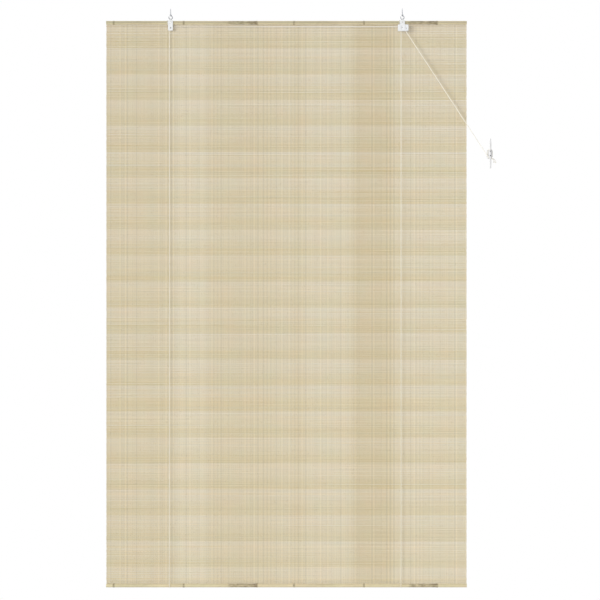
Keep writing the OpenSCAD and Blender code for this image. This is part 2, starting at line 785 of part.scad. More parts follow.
// Cleat: base on the wall, neck and two horns, drilled for two countersunk screws
module cleat() {
    cleat_mid = [cleat_x, cleat_z];
    horn_front_y = horn_y - horn_d / 2;
    color("snow") difference() {
        union() {
            towards_front(wall_gap, base_t)
                translate(cleat_mid) stadium(base_w, base_h);
            towards_front(base_front_y, neck_l)
                translate(cleat_mid) stadium(neck_w, neck_h);
            for (side = [0, 1]) {
                translate([cleat_x, horn_y, cleat_z]) mirror([0, 0, side]) horn();
            }
        }
        for (side = [-1, 1]) {
            z = cleat_z + side * cleat_hole_spacing / 2;
            pin_y(cleat_x, z, wall_gap + overrun, base_t + neck_l + horn_d, cleat_hole_d);
            translate([cleat_x, horn_front_y + cleat_sink_l, z]) rotate([90, 0, 0])
                cylinder(d1 = cleat_hole_d, d2 = cleat_sink_d, h = cleat_sink_l);
        }
    }
}

left_hook();
right_hook();
left_hanger();
right_hanger();
hanger_screws();
left_pulley();
pulley_axle();
lock_housing();
lock_cover();
lock_rivets();
lock_roller();
roller_axle();
lock_pawl();
pawl_pin();
top_cane();
reed_mat();
bottom_cane();
left_cord_tie();
right_cord_tie();
left_lift_cord();
right_lift_cord();
left_pull_cord();
right_pull_cord();
cord_end_knots();
cleat();
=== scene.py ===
"""Looks of a bamboo roll-up blind: reeds, canes, cords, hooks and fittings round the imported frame.

Every length is in metres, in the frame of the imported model: the origin lies midway between the
screw hooks on the ceiling plane, +X is to the right, the front faces -Y and +Z is up. Angles in
fields are in degrees.
"""

import json
import logging
import math
from collections.abc import Callable, Iterator, Sequence
from contextlib import contextmanager
from dataclasses import dataclass, replace
from enum import Enum

import bmesh
import bpy
import numpy as np
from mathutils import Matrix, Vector


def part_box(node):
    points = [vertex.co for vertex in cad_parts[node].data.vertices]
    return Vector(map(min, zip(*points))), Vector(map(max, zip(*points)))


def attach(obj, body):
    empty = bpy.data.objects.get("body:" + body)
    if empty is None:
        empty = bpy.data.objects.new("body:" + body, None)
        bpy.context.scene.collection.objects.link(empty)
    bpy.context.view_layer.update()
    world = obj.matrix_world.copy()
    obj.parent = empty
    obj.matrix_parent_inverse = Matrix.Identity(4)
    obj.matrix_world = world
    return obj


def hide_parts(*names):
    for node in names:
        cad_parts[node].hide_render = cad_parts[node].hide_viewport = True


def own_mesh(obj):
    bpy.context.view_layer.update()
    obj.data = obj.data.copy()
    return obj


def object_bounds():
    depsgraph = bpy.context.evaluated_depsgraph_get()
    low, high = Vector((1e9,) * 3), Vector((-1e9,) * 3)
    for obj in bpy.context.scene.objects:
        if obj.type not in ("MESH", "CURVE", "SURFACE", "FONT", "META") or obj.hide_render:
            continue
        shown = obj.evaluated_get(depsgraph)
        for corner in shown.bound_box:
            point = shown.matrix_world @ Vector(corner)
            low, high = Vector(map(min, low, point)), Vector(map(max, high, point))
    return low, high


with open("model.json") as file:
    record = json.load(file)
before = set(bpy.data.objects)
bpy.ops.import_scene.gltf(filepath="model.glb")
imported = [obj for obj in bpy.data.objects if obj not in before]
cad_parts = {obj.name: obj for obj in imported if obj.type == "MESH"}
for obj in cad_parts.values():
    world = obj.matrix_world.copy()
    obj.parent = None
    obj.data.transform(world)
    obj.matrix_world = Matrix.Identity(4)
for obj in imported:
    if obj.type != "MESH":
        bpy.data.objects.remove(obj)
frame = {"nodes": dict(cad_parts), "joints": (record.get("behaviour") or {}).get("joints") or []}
CAD_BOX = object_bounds()
LOG = logging.getLogger("blind")
# Points nearer to each other than this are one point
SNAP = 1e-6
# Degrees between two points on a round stretch of cord
ARC_STEP = 6.0
# Radius of both canes between their joints
CANE_R = 0.007

Colour = tuple[float, float, float]
Triple = tuple[float, float, float]
Span = tuple[float, float]
Shares = tuple[Span, ...]


class Body(Enum):
    """Bodies of the frame that new pieces ride on."""

    BLIND = "blind"
    BOTTOM_BAR = "bottom_bar"


class Slot(Enum):
    """Material slots of the record that new pieces fill."""

    ZINC = "zinc"
    STRAP = "white_strap"
    LOCK = "lock_plastic"
    CANE = "cane"
    REED = "reed"
    CORD = "cord"
    CLEAT = "cleat_plastic"


class Axis(Enum):
    """Directions along the frame's axes."""

    ACROSS = (1.0, 0.0, 0.0)
    DEPTH = (0.0, 1.0, 0.0)
    UP = (0.0, 0.0, 1.0)


class Detail(Enum):
    """Numbers of finer layers in a noise texture."""

    PLAIN = 0.0
    SOFT = 2.0
    ROUGH = 3.0
    FIBROUS = 4.0


def joint_named(name: str) -> dict:
    """Finds a joint of the frame.

    Args:
        name: The joint's name.

    Returns:
        The joint's entry in the record.
    """
    return next(joint for joint in frame["joints"] if joint["name"] == name)


def joint_place(name: str) -> Vector:
    """Returns the point that a hinge of that name turns about."""
    return Vector(joint_named(name)["pos_m"])


def middle_of(node: str) -> Vector:
    """Returns the middle of a CAD node's box."""
    low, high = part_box(node)
    return (low + high) / 2


def deselect_all() -> None:
    """Clears the selection, which the frame's import leaves full."""
    bpy.ops.object.select_all(action="DESELECT")


def activate(piece: bpy.types.Object) -> None:
    """Makes a piece the only selected and the active object."""
    deselect_all()
    piece.select_set(True)
    bpy.context.view_layer.objects.active = piece


@contextmanager
def editing(piece: bpy.types.Object) -> Iterator[None]:
    """Opens a piece in edit mode and leaves it again.

    Args:
        piece: The mesh to edit.

    Returns:
        A context in which mesh operators act on the piece.
    """
    activate(piece)
    bpy.ops.object.mode_set(mode="EDIT")
    yield
    bpy.ops.object.mode_set(mode="OBJECT")


def select_vertices(piece: bpy.types.Object, test: Callable[[Vector], bool]) -> None:
    """Selects the vertices of an open mesh by their place.

    Args:
        piece: The mesh that is open in edit mode.
        test: Says of a vertex's place whether it is selected.
    """
    bpy.ops.mesh.select_mode(type="VERT")
    mesh = bmesh.from_edit_mesh(piece.data)
    for vertex in mesh.verts:
        vertex.select = test(vertex.co)
    mesh.select_flush_mode()
    bmesh.update_edit_mesh(piece.data)


def select_edges(piece: bpy.types.Object, test: Callable[[Vector, Vector], bool]) -> None:
    """Selects the edges of an open mesh by their two ends.

    Args:
        piece: The mesh that is open in edit mode.
        test: Says of an edge's two ends whether the edge is selected.
    """
    bpy.ops.mesh.select_all(action="DESELECT")
    bpy.ops.mesh.select_mode(type="EDGE")
    mesh = bmesh.from_edit_mesh(piece.data)
    for edge in mesh.edges:
        edge.select = test(edge.verts[0].co, edge.verts[1].co)
    mesh.select_flush_mode()
    bmesh.update_edit_mesh(piece.data)


def apply_modifier(piece: bpy.types.Object, kind: str, **settings: object) -> None:
    """Adds a modifier to a piece and applies it at once.

    Args:
        piece: The mesh to change.
        kind: The modifier's type.
        settings: Values of the modifier's own properties.
    """
    modifier = piece.modifiers.new(kind.title(), kind)
    for name, value in settings.items():
        setattr(modifier, name, value)
    activate(piece)
    bpy.ops.object.modifier_apply(modifier=modifier.name)


def repeat_along(piece: bpy.types.Object, count: int, step: Triple) -> None:
    """Repeats a piece in even steps, as one mesh.

    Args:
        piece: The mesh to repeat.
        count: How many there are in the end.
        step: From each to the next.
    """
    apply_modifier(piece, "ARRAY", count=count, use_relative_offset=False, use_constant_offset=True,
                   constant_offset_displace=step)


def start_from(add: Callable[..., set[str]], **settings: object) -> bpy.types.Object:
    """Adds a primitive and moves its place and turn into its mesh.

    Args:
        add: The operator that adds the primitive.
        settings: The primitive's size, place and turn.

    Returns:
        The new object, at the origin.
    """
    deselect_all()
    add(**settings)
    piece = bpy.context.object
    bpy.ops.object.transform_apply(location=True, rotation=True, scale=True)
    return piece


def join_pieces(name: str, pieces: Sequence[bpy.types.Object]) -> bpy.types.Object:
    """Joins shells that are one real piece into one object.

    Args:
        name: The joined object's name.
        pieces: The shells, each in its place.

    Returns:
        The joined object.
    """
    activate(pieces[0])
    for piece in pieces:
        piece.select_set(True)
    bpy.ops.object.join()
    pieces[0].name = name
    pieces[0].data.name = name
    return pieces[0]


def face_outwards(piece: bpy.types.Object) -> None:
    """Merges doubled points of a closed mesh and turns its faces outwards."""
    with editing(piece):
        bpy.ops.mesh.select_all(action="SELECT")
        bpy.ops.mesh.remove_doubles(threshold=SNAP)
        bpy.ops.mesh.normals_make_consistent(inside=False)


def smooth(piece: bpy.types.Object, crease: float) -> None:
    """Shades a piece smooth, apart from edges sharper than the given angle."""
    activate(piece)
    bpy.ops.object.shade_smooth_by_angle(angle=math.radians(crease))


class ShaderSheet:
    """The node tree of a material or world, with short calls that add nodes and join them."""

    def __init__(self, owner: bpy.types.Material | bpy.types.World, surface: str = "Principled BSDF") -> None:
        """Opens a node tree.

        Args:
            owner: The new material or world.
            surface: The name of the node that its colours and strengths go into.
        """
        owner.use_nodes = True
        self.owner = owner
        self.tree = owner.node_tree
        self.surface = self.tree.nodes[surface]

    def add(self, kind: str, **settings: object) -> bpy.types.Node:
        """Adds a node.

        Args:
            kind: The node's type, without its ShaderNode prefix.
            settings: Values of the node's own properties.

        Returns:
            The new node.
        """
        node = self.tree.nodes.new("ShaderNode" + kind)
        for name, value in settings.items():
            setattr(node, name, value)
        return node

    def feed(self, socket: bpy.types.NodeSocket, value: object) -> None:
        """Links a socket to an output, or sets its constant.

        Args:
            socket: The input to fill.
            value: Another node's output, a number or a colour.
        """
        if isinstance(value, bpy.types.NodeSocket):
            self.tree.links.new(value, socket)
        elif isinstance(value, tuple) and len(value) == 3 and len(socket.default_value) == 4:
            socket.default_value = (*value, 1.0)
        else:
            socket.default_value = value

    def place(self) -> bpy.types.NodeSocket:
        """Returns the Object coordinates of the shaded point."""
        return self.add("TexCoord").outputs["Object"]

    def axis(self, name: str, source: str = "Object") -> bpy.types.NodeSocket:
        """Reads one coordinate of the shaded point.

        Args:
            name: The coordinate, "X", "Y" or "Z".
            source: The coordinates that it is one of.

        Returns:
            The coordinate.
        """
        node = self.add("SeparateXYZ")
        self.feed(node.inputs[0], self.add("TexCoord").outputs[source])
        return node.outputs[name]

    def attribute(self, name: str) -> bpy.types.NodeSocket:
        """Returns a number that the mesh itself carries."""
        return self.add("Attribute", attribute_name=name).outputs["Fac"]

    def math(self, operation: str, first: object, second: object = 0.0) -> bpy.types.NodeSocket:
        """Adds a sum of two numbers.

        Args:
            operation: The kind of sum.
            first: A number or an output.
            second: A number or an output.

        Returns:
            The result.
        """
        node = self.add("Math", operation=operation)
        self.feed(node.inputs[0], first)
        self.feed(node.inputs[1], second)
        return node.outputs[0]

    def spread(self, value: object, span: tuple[object, object]) -> bpy.types.NodeSocket:
        """Maps a value from 0 to 1 onto another range.

        Args:
            value: The output to map.
            span: The results at 0 and at 1, as numbers or outputs.

        Returns:
            The mapped value.
        """
        node = self.add("MapRange", clamp=False)
        self.feed(node.inputs["Value"], value)
        self.feed(node.inputs["To Min"], span[0])
        self.feed(node.inputs["To Max"], span[1])
        return node.outputs["Result"]

    def noise(self, scale: float | Triple, detail: Detail = Detail.SOFT) -> bpy.types.NodeSocket:
        """Adds a noise texture on the Object coordinates.

        Args:
            scale: Its number of patches in a metre, the same all ways or along X, Y and Z.
            detail: Its finer layers.

        Returns:
            A value about 0.5.
        """
        node = self.add("TexNoise")
        node.inputs["Detail"].default_value = detail.value
        if isinstance(scale, tuple):
            stretch = self.add("Mapping", vector_type="POINT")
            self.feed(stretch.inputs["Vector"], self.place())
            stretch.inputs["Scale"].default_value = scale
            self.feed(node.inputs["Vector"], stretch.outputs["Vector"])
            node.inputs["Scale"].default_value = 1.0
        else:
            self.feed(node.inputs["Vector"], self.place())
            node.inputs["Scale"].default_value = scale
        return node.outputs[0]

    def ramp(self, value: object, shares: Shares) -> bpy.types.NodeSocket:
        """Reads a grey ramp.

        Args:
            value: The place on the ramp, from 0 to 1.
            shares: Places and grey values.

        Returns:
            The grey at that place.
        """
        node = self.add("ValToRGB")
        elements = node.color_ramp.elements
        while len(elements) < len(shares):
            elements.new(0.5)
        for element, (place, grey) in zip(elements, shares):
            element.position = place
            element.color = (grey, grey, grey, 1.0)
        self.feed(node.inputs[0], value)
        return node.outputs[0]

    def mix(self, share: object, first: object, second: object, blend: str = "MIX") -> bpy.types.NodeSocket:
        """Mixes two colours.

        Args:
            share: How much of the second shows.
            first: A colour or an output.
            second: A colour or an output.
            blend: The way of mixing.

        Returns:
            The mixed colour.
        """
        node = self.add("Mix", data_type="RGBA", blend_type=blend)
        self.feed(node.inputs[0], share)
        self.feed(node.inputs[6], first)
        self.feed(node.inputs[7], second)
        return node.outputs[2]

    def tint(self, colour: object, tint: object) -> bpy.types.NodeSocket:
        """Returns one colour multiplied by another."""
        return self.mix(1.0, colour, tint, "MULTIPLY")

    def vary(self, colour: object, value: object, span: Span) -> bpy.types.NodeSocket:
        """Makes a colour lighter and darker by a value.

        Args:
            colour: A colour or an output.
            value: The output that it follows, from 0 to 1.
            span: What the colour is multiplied by at 0 and at 1.

        Returns:
            The varied colour.
        """
        node = self.add("VectorMath", operation="SCALE")
        self.feed(node.inputs[0], colour)
        self.feed(node.inputs["Scale"], self.spread(value, span))
        return node.outputs[0]

    def bump(self, height: object, distance: float, strength: float = 1.0) -> None:
        """Roughens the surface.

        Args:
            height: The output that gives the relief.
            distance: The relief's height.
            strength: How much of it shows.
        """
        node = self.add("Bump")
        node.inputs["Strength"].default_value = strength
        node.inputs["Distance"].default_value = distance
        self.feed(node.inputs["Height"], height)
        self.feed(self.surface.inputs["Normal"], node.outputs[0])

    def set(self, **values: object) -> None:
        """Fills sockets of the surface node, named with _ for a space."""
        for name, value in values.items():
            self.feed(self.surface.inputs[name.replace("_", " ").title().replace("Ior", "IOR")], value)


@dataclass(frozen=True)
class ReedFinish:
    """Split bamboo: pale and warm zones across the mat, bands down it, fibres along each reed, with painted
    shadow next to the canes, painted shade towards the top and painted light towards the bottom.
    """

    name: str
    warm: Colour = (0.662, 0.572, 0.366)
    pale: Colour = (0.728, 0.655, 0.466)
    zone_shares: Shares = (
        (0.00, 0.45), (0.165, 0.45), (0.20, 1.0), (0.27, 1.0), (0.295, 0.4), (0.45, 0.4), (0.475, 0.65),
        (0.51, 0.65), (0.53, 0.35), (0.565, 0.9), (0.67, 0.9), (0.70, 0.0), (0.785, 0.0), (0.81, 0.9),
        (1.0, 0.9))
    band: float = 0.1008
    band_top: float = -0.1295
    band_light: Colour = (1.036, 1.047, 1.118)
    band_dark: Colour = (0.964, 0.953, 0.882)
    band_shares: Shares = ((0.0, 0.0), (0.4, 0.33), (0.75, 1.0), (0.98, 1.0))
    straw_tint: Colour = (1.020, 1.000, 0.950)
    grey_tint: Colour = (0.980, 1.000, 1.050)
    # Painted shade towards the top of the mat and painted light towards its bottom, over a slight warm tint
    upper_painted_shade: Colour = (0.960, 0.945, 0.942)
    lower_painted_light: Colour = (1.030, 1.010, 0.992)
    drop_shares: Shares = ((0.0, 0.0), (0.5, 0.6), (1.0, 1.0))
    # Painted shadow on the reeds just below the top cane and just above the bottom cane
    cane_shadow_shares: Shares = ((0.0, 1.0), (0.0195, 1.0), (0.0225, 0.0), (0.993, 0.0), (0.998, 0.6))
    cane_shadow_tint: Colour = (0.88, 0.865, 0.85)
    fibre_scale: Triple = (9.0, 400.0, 2600.0)
    fibre_span: Span = (0.75, 1.25)
    streak_scale: Triple = (140.0, 0.0, 0.0)
    streak_span: Span = (0.81, 1.19)
    patch_scale: Triple = (11.0, 0.0, 11.0)
    patch_span: Span = (-0.6, 1.6)
    green_tint: Colour = (0.985, 1.010, 1.010)
    blush: Colour = (1.018, 0.990, 0.982)
    node_run: float = 0.37
    node_shift: float = 5.0
    node_shares: Shares = (
        (0.0, 0.0), (0.0025, 0.25), (0.0035, 0.9), (0.0045, 0.9), (0.0055, 0.2), (0.02, 0.0))
    node_brown: Colour = (0.36, 0.26, 0.13)
    node_strength: float = 0.5
    relief: float = 0.00012
    roughness: float = 0.62
    gloss: float = 0.25

    def material(self, width: float, drop: float) -> bpy.types.Material:
        """Makes the finish.

        Args:
            width: The width of the mat that the zones spread over.
            drop: The height at which the mat ends, where its tint ends too.

        Returns:
            The material.
        """
        sheet = ShaderSheet(bpy.data.materials.new(self.name))
        tone = sheet.attribute("reed_tone")
        across = sheet.math("ADD", sheet.math("DIVIDE", sheet.axis("X"), width), 0.5)
        colour = sheet.mix(sheet.ramp(across, self.zone_shares), self.warm, self.pale)
        below = sheet.math("SUBTRACT", self.band_top, sheet.axis("Z"))
        band = sheet.ramp(sheet.math("FRACT", sheet.math("DIVIDE", below, self.band)), self.band_shares)
        colour = sheet.tint(colour, sheet.mix(band, self.band_light, self.band_dark))
        colour = sheet.tint(colour, sheet.mix(tone, self.straw_tint, self.grey_tint))
        # Painted shade and light by height: darker towards the top of the mat, lighter towards its bottom
        down = sheet.math("DIVIDE", sheet.axis("Z"), drop)
        height = sheet.ramp(down, self.drop_shares)
        colour = sheet.tint(colour, sheet.mix(height, self.upper_painted_shade, self.lower_painted_light))
        # Painted shadow of the canes on the reeds next to them
        colour = sheet.mix(sheet.ramp(down, self.cane_shadow_shares), colour, sheet.tint(colour, self.cane_shadow_tint))
        fibre = sheet.noise(self.fibre_scale, Detail.FIBROUS)
        colour = sheet.vary(colour, fibre, self.fibre_span)
        colour = sheet.vary(colour, sheet.noise(self.streak_scale, Detail.PLAIN), self.streak_span)
        patch = sheet.spread(sheet.noise(self.patch_scale), self.patch_span)
        colour = sheet.tint(colour, sheet.mix(patch, self.green_tint, self.blush))
        along = sheet.math("ADD", sheet.axis("X"), sheet.math("MULTIPLY", tone, self.node_shift))
        node = sheet.ramp(sheet.math("FRACT", sheet.math("DIVIDE", along, self.node_run)), self.node_shares)
        colour = sheet.mix(sheet.math("MULTIPLY", node, self.node_strength), colour, self.node_brown)
        sheet.bump(sheet.math("ADD", fibre, node), self.relief)
        sheet.set(base_color=colour, roughness=self.roughness, specular_ior_level=self.gloss)
        return sheet.owner


@dataclass(frozen=True)
class CaneFinish:
    """Bamboo cane: pale skin, dark rings at the joints and one dark stretch in each run, with painted shade
    and painted light on its upper and under sides.
    """

    name: str
    skin: Colour
    # Colour multipliers for the upper and under sides: painted light above 1, painted shade below 1
    upper_painted_light: float
    under_painted_light: float
    middle_z: float
    radius: float = CANE_R
    dark: Colour = (0.260, 0.205, 0.115)
    run: float = 0.7
    left_end: float = -0.7
    stain_shares: Shares = (
        (0.0, 0.12), (0.034, 0.05), (0.0405, 0.75), (0.0425, 0.75), (0.049, 0.10), (0.20, 0.18),
        (0.30, 0.06), (0.423, 0.16), (0.429, 0.8), (0.431, 0.8), (0.437, 0.05), (0.60, 0.10),
        (0.672, 0.18), (0.684, 0.50), (0.80, 0.58), (0.835, 0.85), (0.843, 0.06), (1.0, 0.10))
    painted_light_shares: Shares = ((0.0, 0.0), (0.25, 0.0), (0.48, 1.0), (0.64, 1.0), (0.82, 0.25))
    patch_scale: Triple = (12.0, 90.0, 90.0)
    patch_span: Span = (0.5, 1.5)
    blot_scale: Triple = (60.0, 150.0, 150.0)
    blot_span: Span = (-0.5, 2.6)
    fibre_scale: Triple = (11.0, 700.0, 700.0)
    fibre_span: Span = (0.76, 1.24)
    cloud_scale: Triple = (7.0, 60.0, 60.0)
    green_tint: Colour = (0.93, 1.01, 0.95)
    straw_tint: Colour = (1.07, 1.0, 1.03)
    relief: float = 0.00018
    relief_strength: float = 0.7
    rough_span: Span = (0.34, 0.52)

    def material(self) -> bpy.types.Material:
        """Makes the finish and returns the material."""
        sheet = ShaderSheet(bpy.data.materials.new(self.name))
        from_end = sheet.math("SUBTRACT", sheet.axis("X"), self.left_end)
        place = sheet.math("FRACT", sheet.math("DIVIDE", from_end, self.run))
        stain = sheet.ramp(place, self.stain_shares)
        patch = sheet.noise(self.patch_scale, Detail.ROUGH)
        stain = sheet.math("MULTIPLY", stain, sheet.spread(patch, self.patch_span))
        stain = sheet.math("MULTIPLY", stain, sheet.spread(sheet.noise(self.blot_scale), self.blot_span))
        colour = sheet.mix(stain, self.skin, self.dark)
        fibre = sheet.noise(self.fibre_scale, Detail.FIBROUS)
        colour = sheet.vary(colour, fibre, self.fibre_span)
        cloud = sheet.noise(self.cloud_scale)
        colour = sheet.tint(colour, sheet.mix(cloud, self.green_tint, self.straw_tint))
        above = sheet.math("SUBTRACT", sheet.axis("Z"), self.middle_z)
        # From -1 at the bottom of the cane and 1 at its top to 0 and 1
        facing = sheet.spread(sheet.math("DIVIDE", above, self.radius), (0.5, 1.0))
        # Painted shade and painted light on the cane's upper and under sides, as light would fall on them
        side = sheet.ramp(facing, self.painted_light_shares)
        colour = sheet.vary(colour, side, (self.under_painted_light, self.upper_painted_light))
        sheet.bump(fibre, self.relief, self.relief_strength)
        sheet.set(base_color=colour, roughness=sheet.spread(patch, self.rough_span))
        return sheet.owner


@dataclass(frozen=True)
class CottonFinish:
    """Twisted cotton: soft, matt, with fuzz and a little uneven tone."""

    name: str
    colour: Colour
    fuzz_scale: float = 4200.0
    fuzz_span: Span = (0.90, 1.10)
    tone_scale: float = 60.0
    tone_span: Span = (0.95, 1.05)
    relief: float = 0.00006
    relief_strength: float = 0.5
    roughness: float = 0.9
    sheen: float = 0.4
    sheen_roughness: float = 0.5

    def material(self) -> bpy.types.Material:
        """Makes the finish and returns the material."""
        sheet = ShaderSheet(bpy.data.materials.new(self.name))
        fuzz = sheet.noise(self.fuzz_scale)
        colour = sheet.vary(self.colour, fuzz, self.fuzz_span)
        colour = sheet.vary(colour, sheet.noise(self.tone_scale), self.tone_span)
        sheet.bump(fuzz, self.relief, self.relief_strength)
        sheet.set(base_color=colour, roughness=self.roughness, sheen_weight=self.sheen,
                  sheen_roughness=self.sheen_roughness)
        return sheet.owner


@dataclass(frozen=True)
class MetalFinish:
    """Bare or plated metal, with fine scratches and dull patches, lighter at a screw's tip if asked."""

    name: str
    colour: Colour
    roughness: float
    tip_light: float = 1.0
    tip_shares: Shares = ((0.0, 0.0), (0.25, 0.35), (0.8, 1.0))
    scratch_scale: Triple = (500.0, 500.0, 4000.0)
    scratch_span: Span = (0.8, 1.2)
    patch_scale: float = 260.0
    patch_span: Span = (0.85, 1.12)
    relief: float = 0.00003
    relief_strength: float = 0.5

    def material(self) -> bpy.types.Material:
        """Makes the finish and returns the material."""
        sheet = ShaderSheet(bpy.data.materials.new(self.name))
        scratch = sheet.noise(self.scratch_scale, Detail.ROUGH)
        colour = sheet.vary(self.colour, sheet.noise(self.patch_scale, Detail.ROUGH), self.patch_span)
        if self.tip_light > 1.0:
            tip = sheet.ramp(sheet.math("DIVIDE", sheet.axis("Z"), CAD_BOX[1][2]), self.tip_shares)
            colour = sheet.vary(colour, tip, (1.0, self.tip_light))
        rough = sheet.math("MULTIPLY", sheet.spread(scratch, self.scratch_span), self.roughness)
        sheet.bump(scratch, self.relief, self.relief_strength)
        sheet.set(base_color=colour, roughness=rough, metallic=1.0)
        return sheet.owner


@dataclass(frozen=True)
class CoatFinish:
    """White enamel or moulded plastic: a satin skin with slight waves and specks."""

    name: str
    colour: Colour
    roughness: float
    coat: float = 0.0
    coat_roughness: float = 0.3
    wave_scale: float = 350.0
    wave_span: Span = (0.965, 1.03)
    speck_scale: float = 2600.0
    speck_span: Span = (0.85, 1.15)
    relief: float = 0.00003
    relief_strength: float = 0.5

    def material(self) -> bpy.types.Material:
        """Makes the finish and returns the material."""
        sheet = ShaderSheet(bpy.data.materials.new(self.name))
        colour = sheet.vary(self.colour, sheet.noise(self.wave_scale), self.wave_span)
        speck = sheet.noise(self.speck_scale)
        rough = sheet.math("MULTIPLY", sheet.spread(speck, self.speck_span), self.roughness)
        sheet.bump(speck, self.relief, self.relief_strength)
        sheet.set(base_color=colour, roughness=rough, coat_weight=self.coat,
                  coat_roughness=self.coat_roughness)
        return sheet.owner


def finish_piece(piece: bpy.types.Object, name: str, body: Body,
                 material: bpy.types.Material) -> None:
    """Names a piece, dresses it and lets it ride on its body.

    Args:
        piece: The finished mesh.
        name: The piece's name.
        body: The body that it moves with.
        material: Its material.
    """
    piece.name = name
    piece.data.name = name
    piece.data.materials.clear()
    piece.data.materials.append(material)
    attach(piece, body.value)
    LOG.info("%s: %d faces on %s", name, len(piece.data.polygons), body.value)


def roll_with_bar(piece: bpy.types.Object) -> None:
    """Gives a soft piece a mesh of its own.

    Args:
        piece: The finished piece.
    """
    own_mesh(piece)


@dataclass(frozen=True)
class Route:
    """A cord's way through space, as points along its middle."""

    points: tuple[Vector, ...]

    def rings(self, step: float, ease: float) -> np.ndarray:
        """Spaces points evenly along the way and eases its corners.

        Args:
            step: The distance between two points.
            ease: The length over which a corner is rounded.

        Returns:
            The points, one row each.
        """
        corners = np.array([tuple(point) for point in self.points])
        runs = np.concatenate(([0.0], np.cumsum(np.linalg.norm(np.diff(corners, axis=0), axis=1))))
        count = max(2, int(round(runs[-1] / step)))
        places = np.linspace(0.0, runs[-1], count + 1)
        line = np.stack([np.interp(places, runs, corners[:, i]) for i in range(3)], axis=1)
        half = int(round(ease / step / 2))
        if half < 1:
            return line
        before = 2 * line[0] - line[half:0:-1]
        after = 2 * line[-1] - line[-2:-half - 2:-1]
        padded = np.concatenate((before, line, after))
        kernel = np.ones(2 * half + 1) / (2 * half + 1)
        return np.stack([np.convolve(padded[:, i], kernel, "valid") for i in range(3)], axis=1)

    @staticmethod
    def angles(start: float, end: float) -> list[float]:
        """Divides a turn into even steps.

        Args:
            start: The first angle, in degrees.
            end: The last angle, in degrees.

        Returns:
            The angles, in radians.
        """
        steps = math.ceil(abs(end - start) / ARC_STEP)
        return [math.radians(start + (end - start) * i / steps) for i in range(steps + 1)]

    @staticmethod
    def arc(centre: Vector, radius: float, start: float, end: float, depth: float) -> list[Vector]:
        """Makes an arc in a plane that faces the front.

        Args:
            centre: The arc's middle.
            radius: Its radius.
            start: The first point's angle in degrees, from +X towards +Z.
            end: The last point's angle.
            depth: The Y of all its points.

        Returns:
            The points.
        """
        return [Vector((centre.x + radius * math.cos(a), depth, centre.z + radius * math.sin(a)))
                for a in Route.angles(start, end)]

    @staticmethod
    def loop(x: float, cane_z: float, radius: float, start: float, end: float) -> list[Vector]:
        """Makes an arc round a cane.

        Args:
            x: Where it lies along the cane.
            cane_z: The height of the cane's middle.
            radius: The arc's radius.
            start: The first point's angle in degrees, from +Y towards +Z.
            end: The last point's angle.

        Returns:
            The points.
        """
        return [Vector((x, radius * math.cos(a), cane_z + radius * math.sin(a)))
                for a in Route.angles(start, end)]


@dataclass
class TwistedCord:
    """A cotton cord of strands twisted together, as a closed tube."""

    diameter: float = 0.0022
    strands: int = 3
    lay: float = 0.0066
    lobe: float = 0.08
    sides: int = 9
    ring_step: float = 0.0011
    ease: float = 0.003
    crease: float = 60.0
    least_side: float = 0.1
    knot_turns: float = 2.5
    knot_points: int = 60
    knot_ring_step: float = 0.0005
    knot_ease: float = 0.001

    def tube(self, name: str, route: Route) -> tuple[bpy.types.Object, np.ndarray]:
        """Sweeps the twisted section along a route.

        Args:
            name: The mesh's name.
            route: The cord's way.

        Returns:
            The new object, and the middles of its rings.
        """
        line = route.rings(self.ring_step, self.ease)
        along = np.gradient(line, axis=0)
        along /= np.linalg.norm(along, axis=1)[:, None]
        normal = np.cross(along[0], Axis.ACROSS.value)
        # A cord that starts along X takes its first side from the depth instead
        if np.linalg.norm(normal) < self.least_side:
            normal = np.cross(along[0], Axis.DEPTH.value)
        normals = np.empty_like(line)
        for i, direction in enumerate(along):
            normal = normal - direction * (normal @ direction)
            normal /= np.linalg.norm(normal)
            normals[i] = normal
        sides = np.cross(along, normals)
        around = 2 * math.pi * np.arange(self.sides) / self.sides
        radius = self.diameter / 2 * (1 + self.lobe * np.cos(self.strands * around))
        twist = 2 * math.pi * self.ring_step * np.arange(len(line)) / self.lay
        angle = around[None, :] + twist[:, None]
        points = (line[:, None, :]
                  + (radius * np.cos(angle))[:, :, None] * normals[:, None, :]
                  + (radius * np.sin(angle))[:, :, None] * sides[:, None, :])
        return self._closed_tube(name, points), line

    def _closed_tube(self, name: str, points: np.ndarray) -> bpy.types.Object:
        """Skins rings of points and closes both ends.

        Args:
            name: The mesh's name.
            points: Ring by ring, the points round the section.

        Returns:
            The new object.
        """
        rings, count = points.shape[:2]
        faces = [(i * count + k, i * count + (k + 1) % count, (i + 1) * count + (k + 1) % count,
                  (i + 1) * count + k) for i in range(rings - 1) for k in range(count)]
        faces.append(tuple(range(count))[::-1])
        faces.append(tuple((rings - 1) * count + k for k in range(count)))
        mesh = bpy.data.meshes.new(name)
        mesh.from_pydata(points.reshape(-1, 3).tolist(), [], faces)
        piece = bpy.data.objects.new(name, mesh)
        bpy.context.scene.collection.objects.link(piece)
        face_outwards(piece)
        smooth(piece, self.crease)
        return piece

    def knot(self, name: str, top: Vector, radius: float, length: float) -> bpy.types.Object:
        """Winds a barrel knot that hangs below a point.

        Args:
            name: The mesh's name.
            top: The middle of the knot's upper end.
            radius: The knot's outer radius.
            length: The knot's length.

        Returns:
            The new object.
        """
        wind = radius - self.diameter / 2
        drop = length - self.diameter
        points = [top]
        for i in range(self.knot_points + 1):
            share = i / self.knot_points
            angle = 2 * math.pi * self.knot_turns * share
            height = top.z - self.diameter / 2 - drop * share
            points.append(Vector((top.x + wind * math.cos(angle), top.y + wind * math.sin(angle), height)))
        points.append(top - Vector((0.0, 0.0, length)))
        fine = replace(self, ring_step=self.knot_ring_step, ease=self.knot_ease)
        return fine.tube(name, Route(tuple(points)))[0]


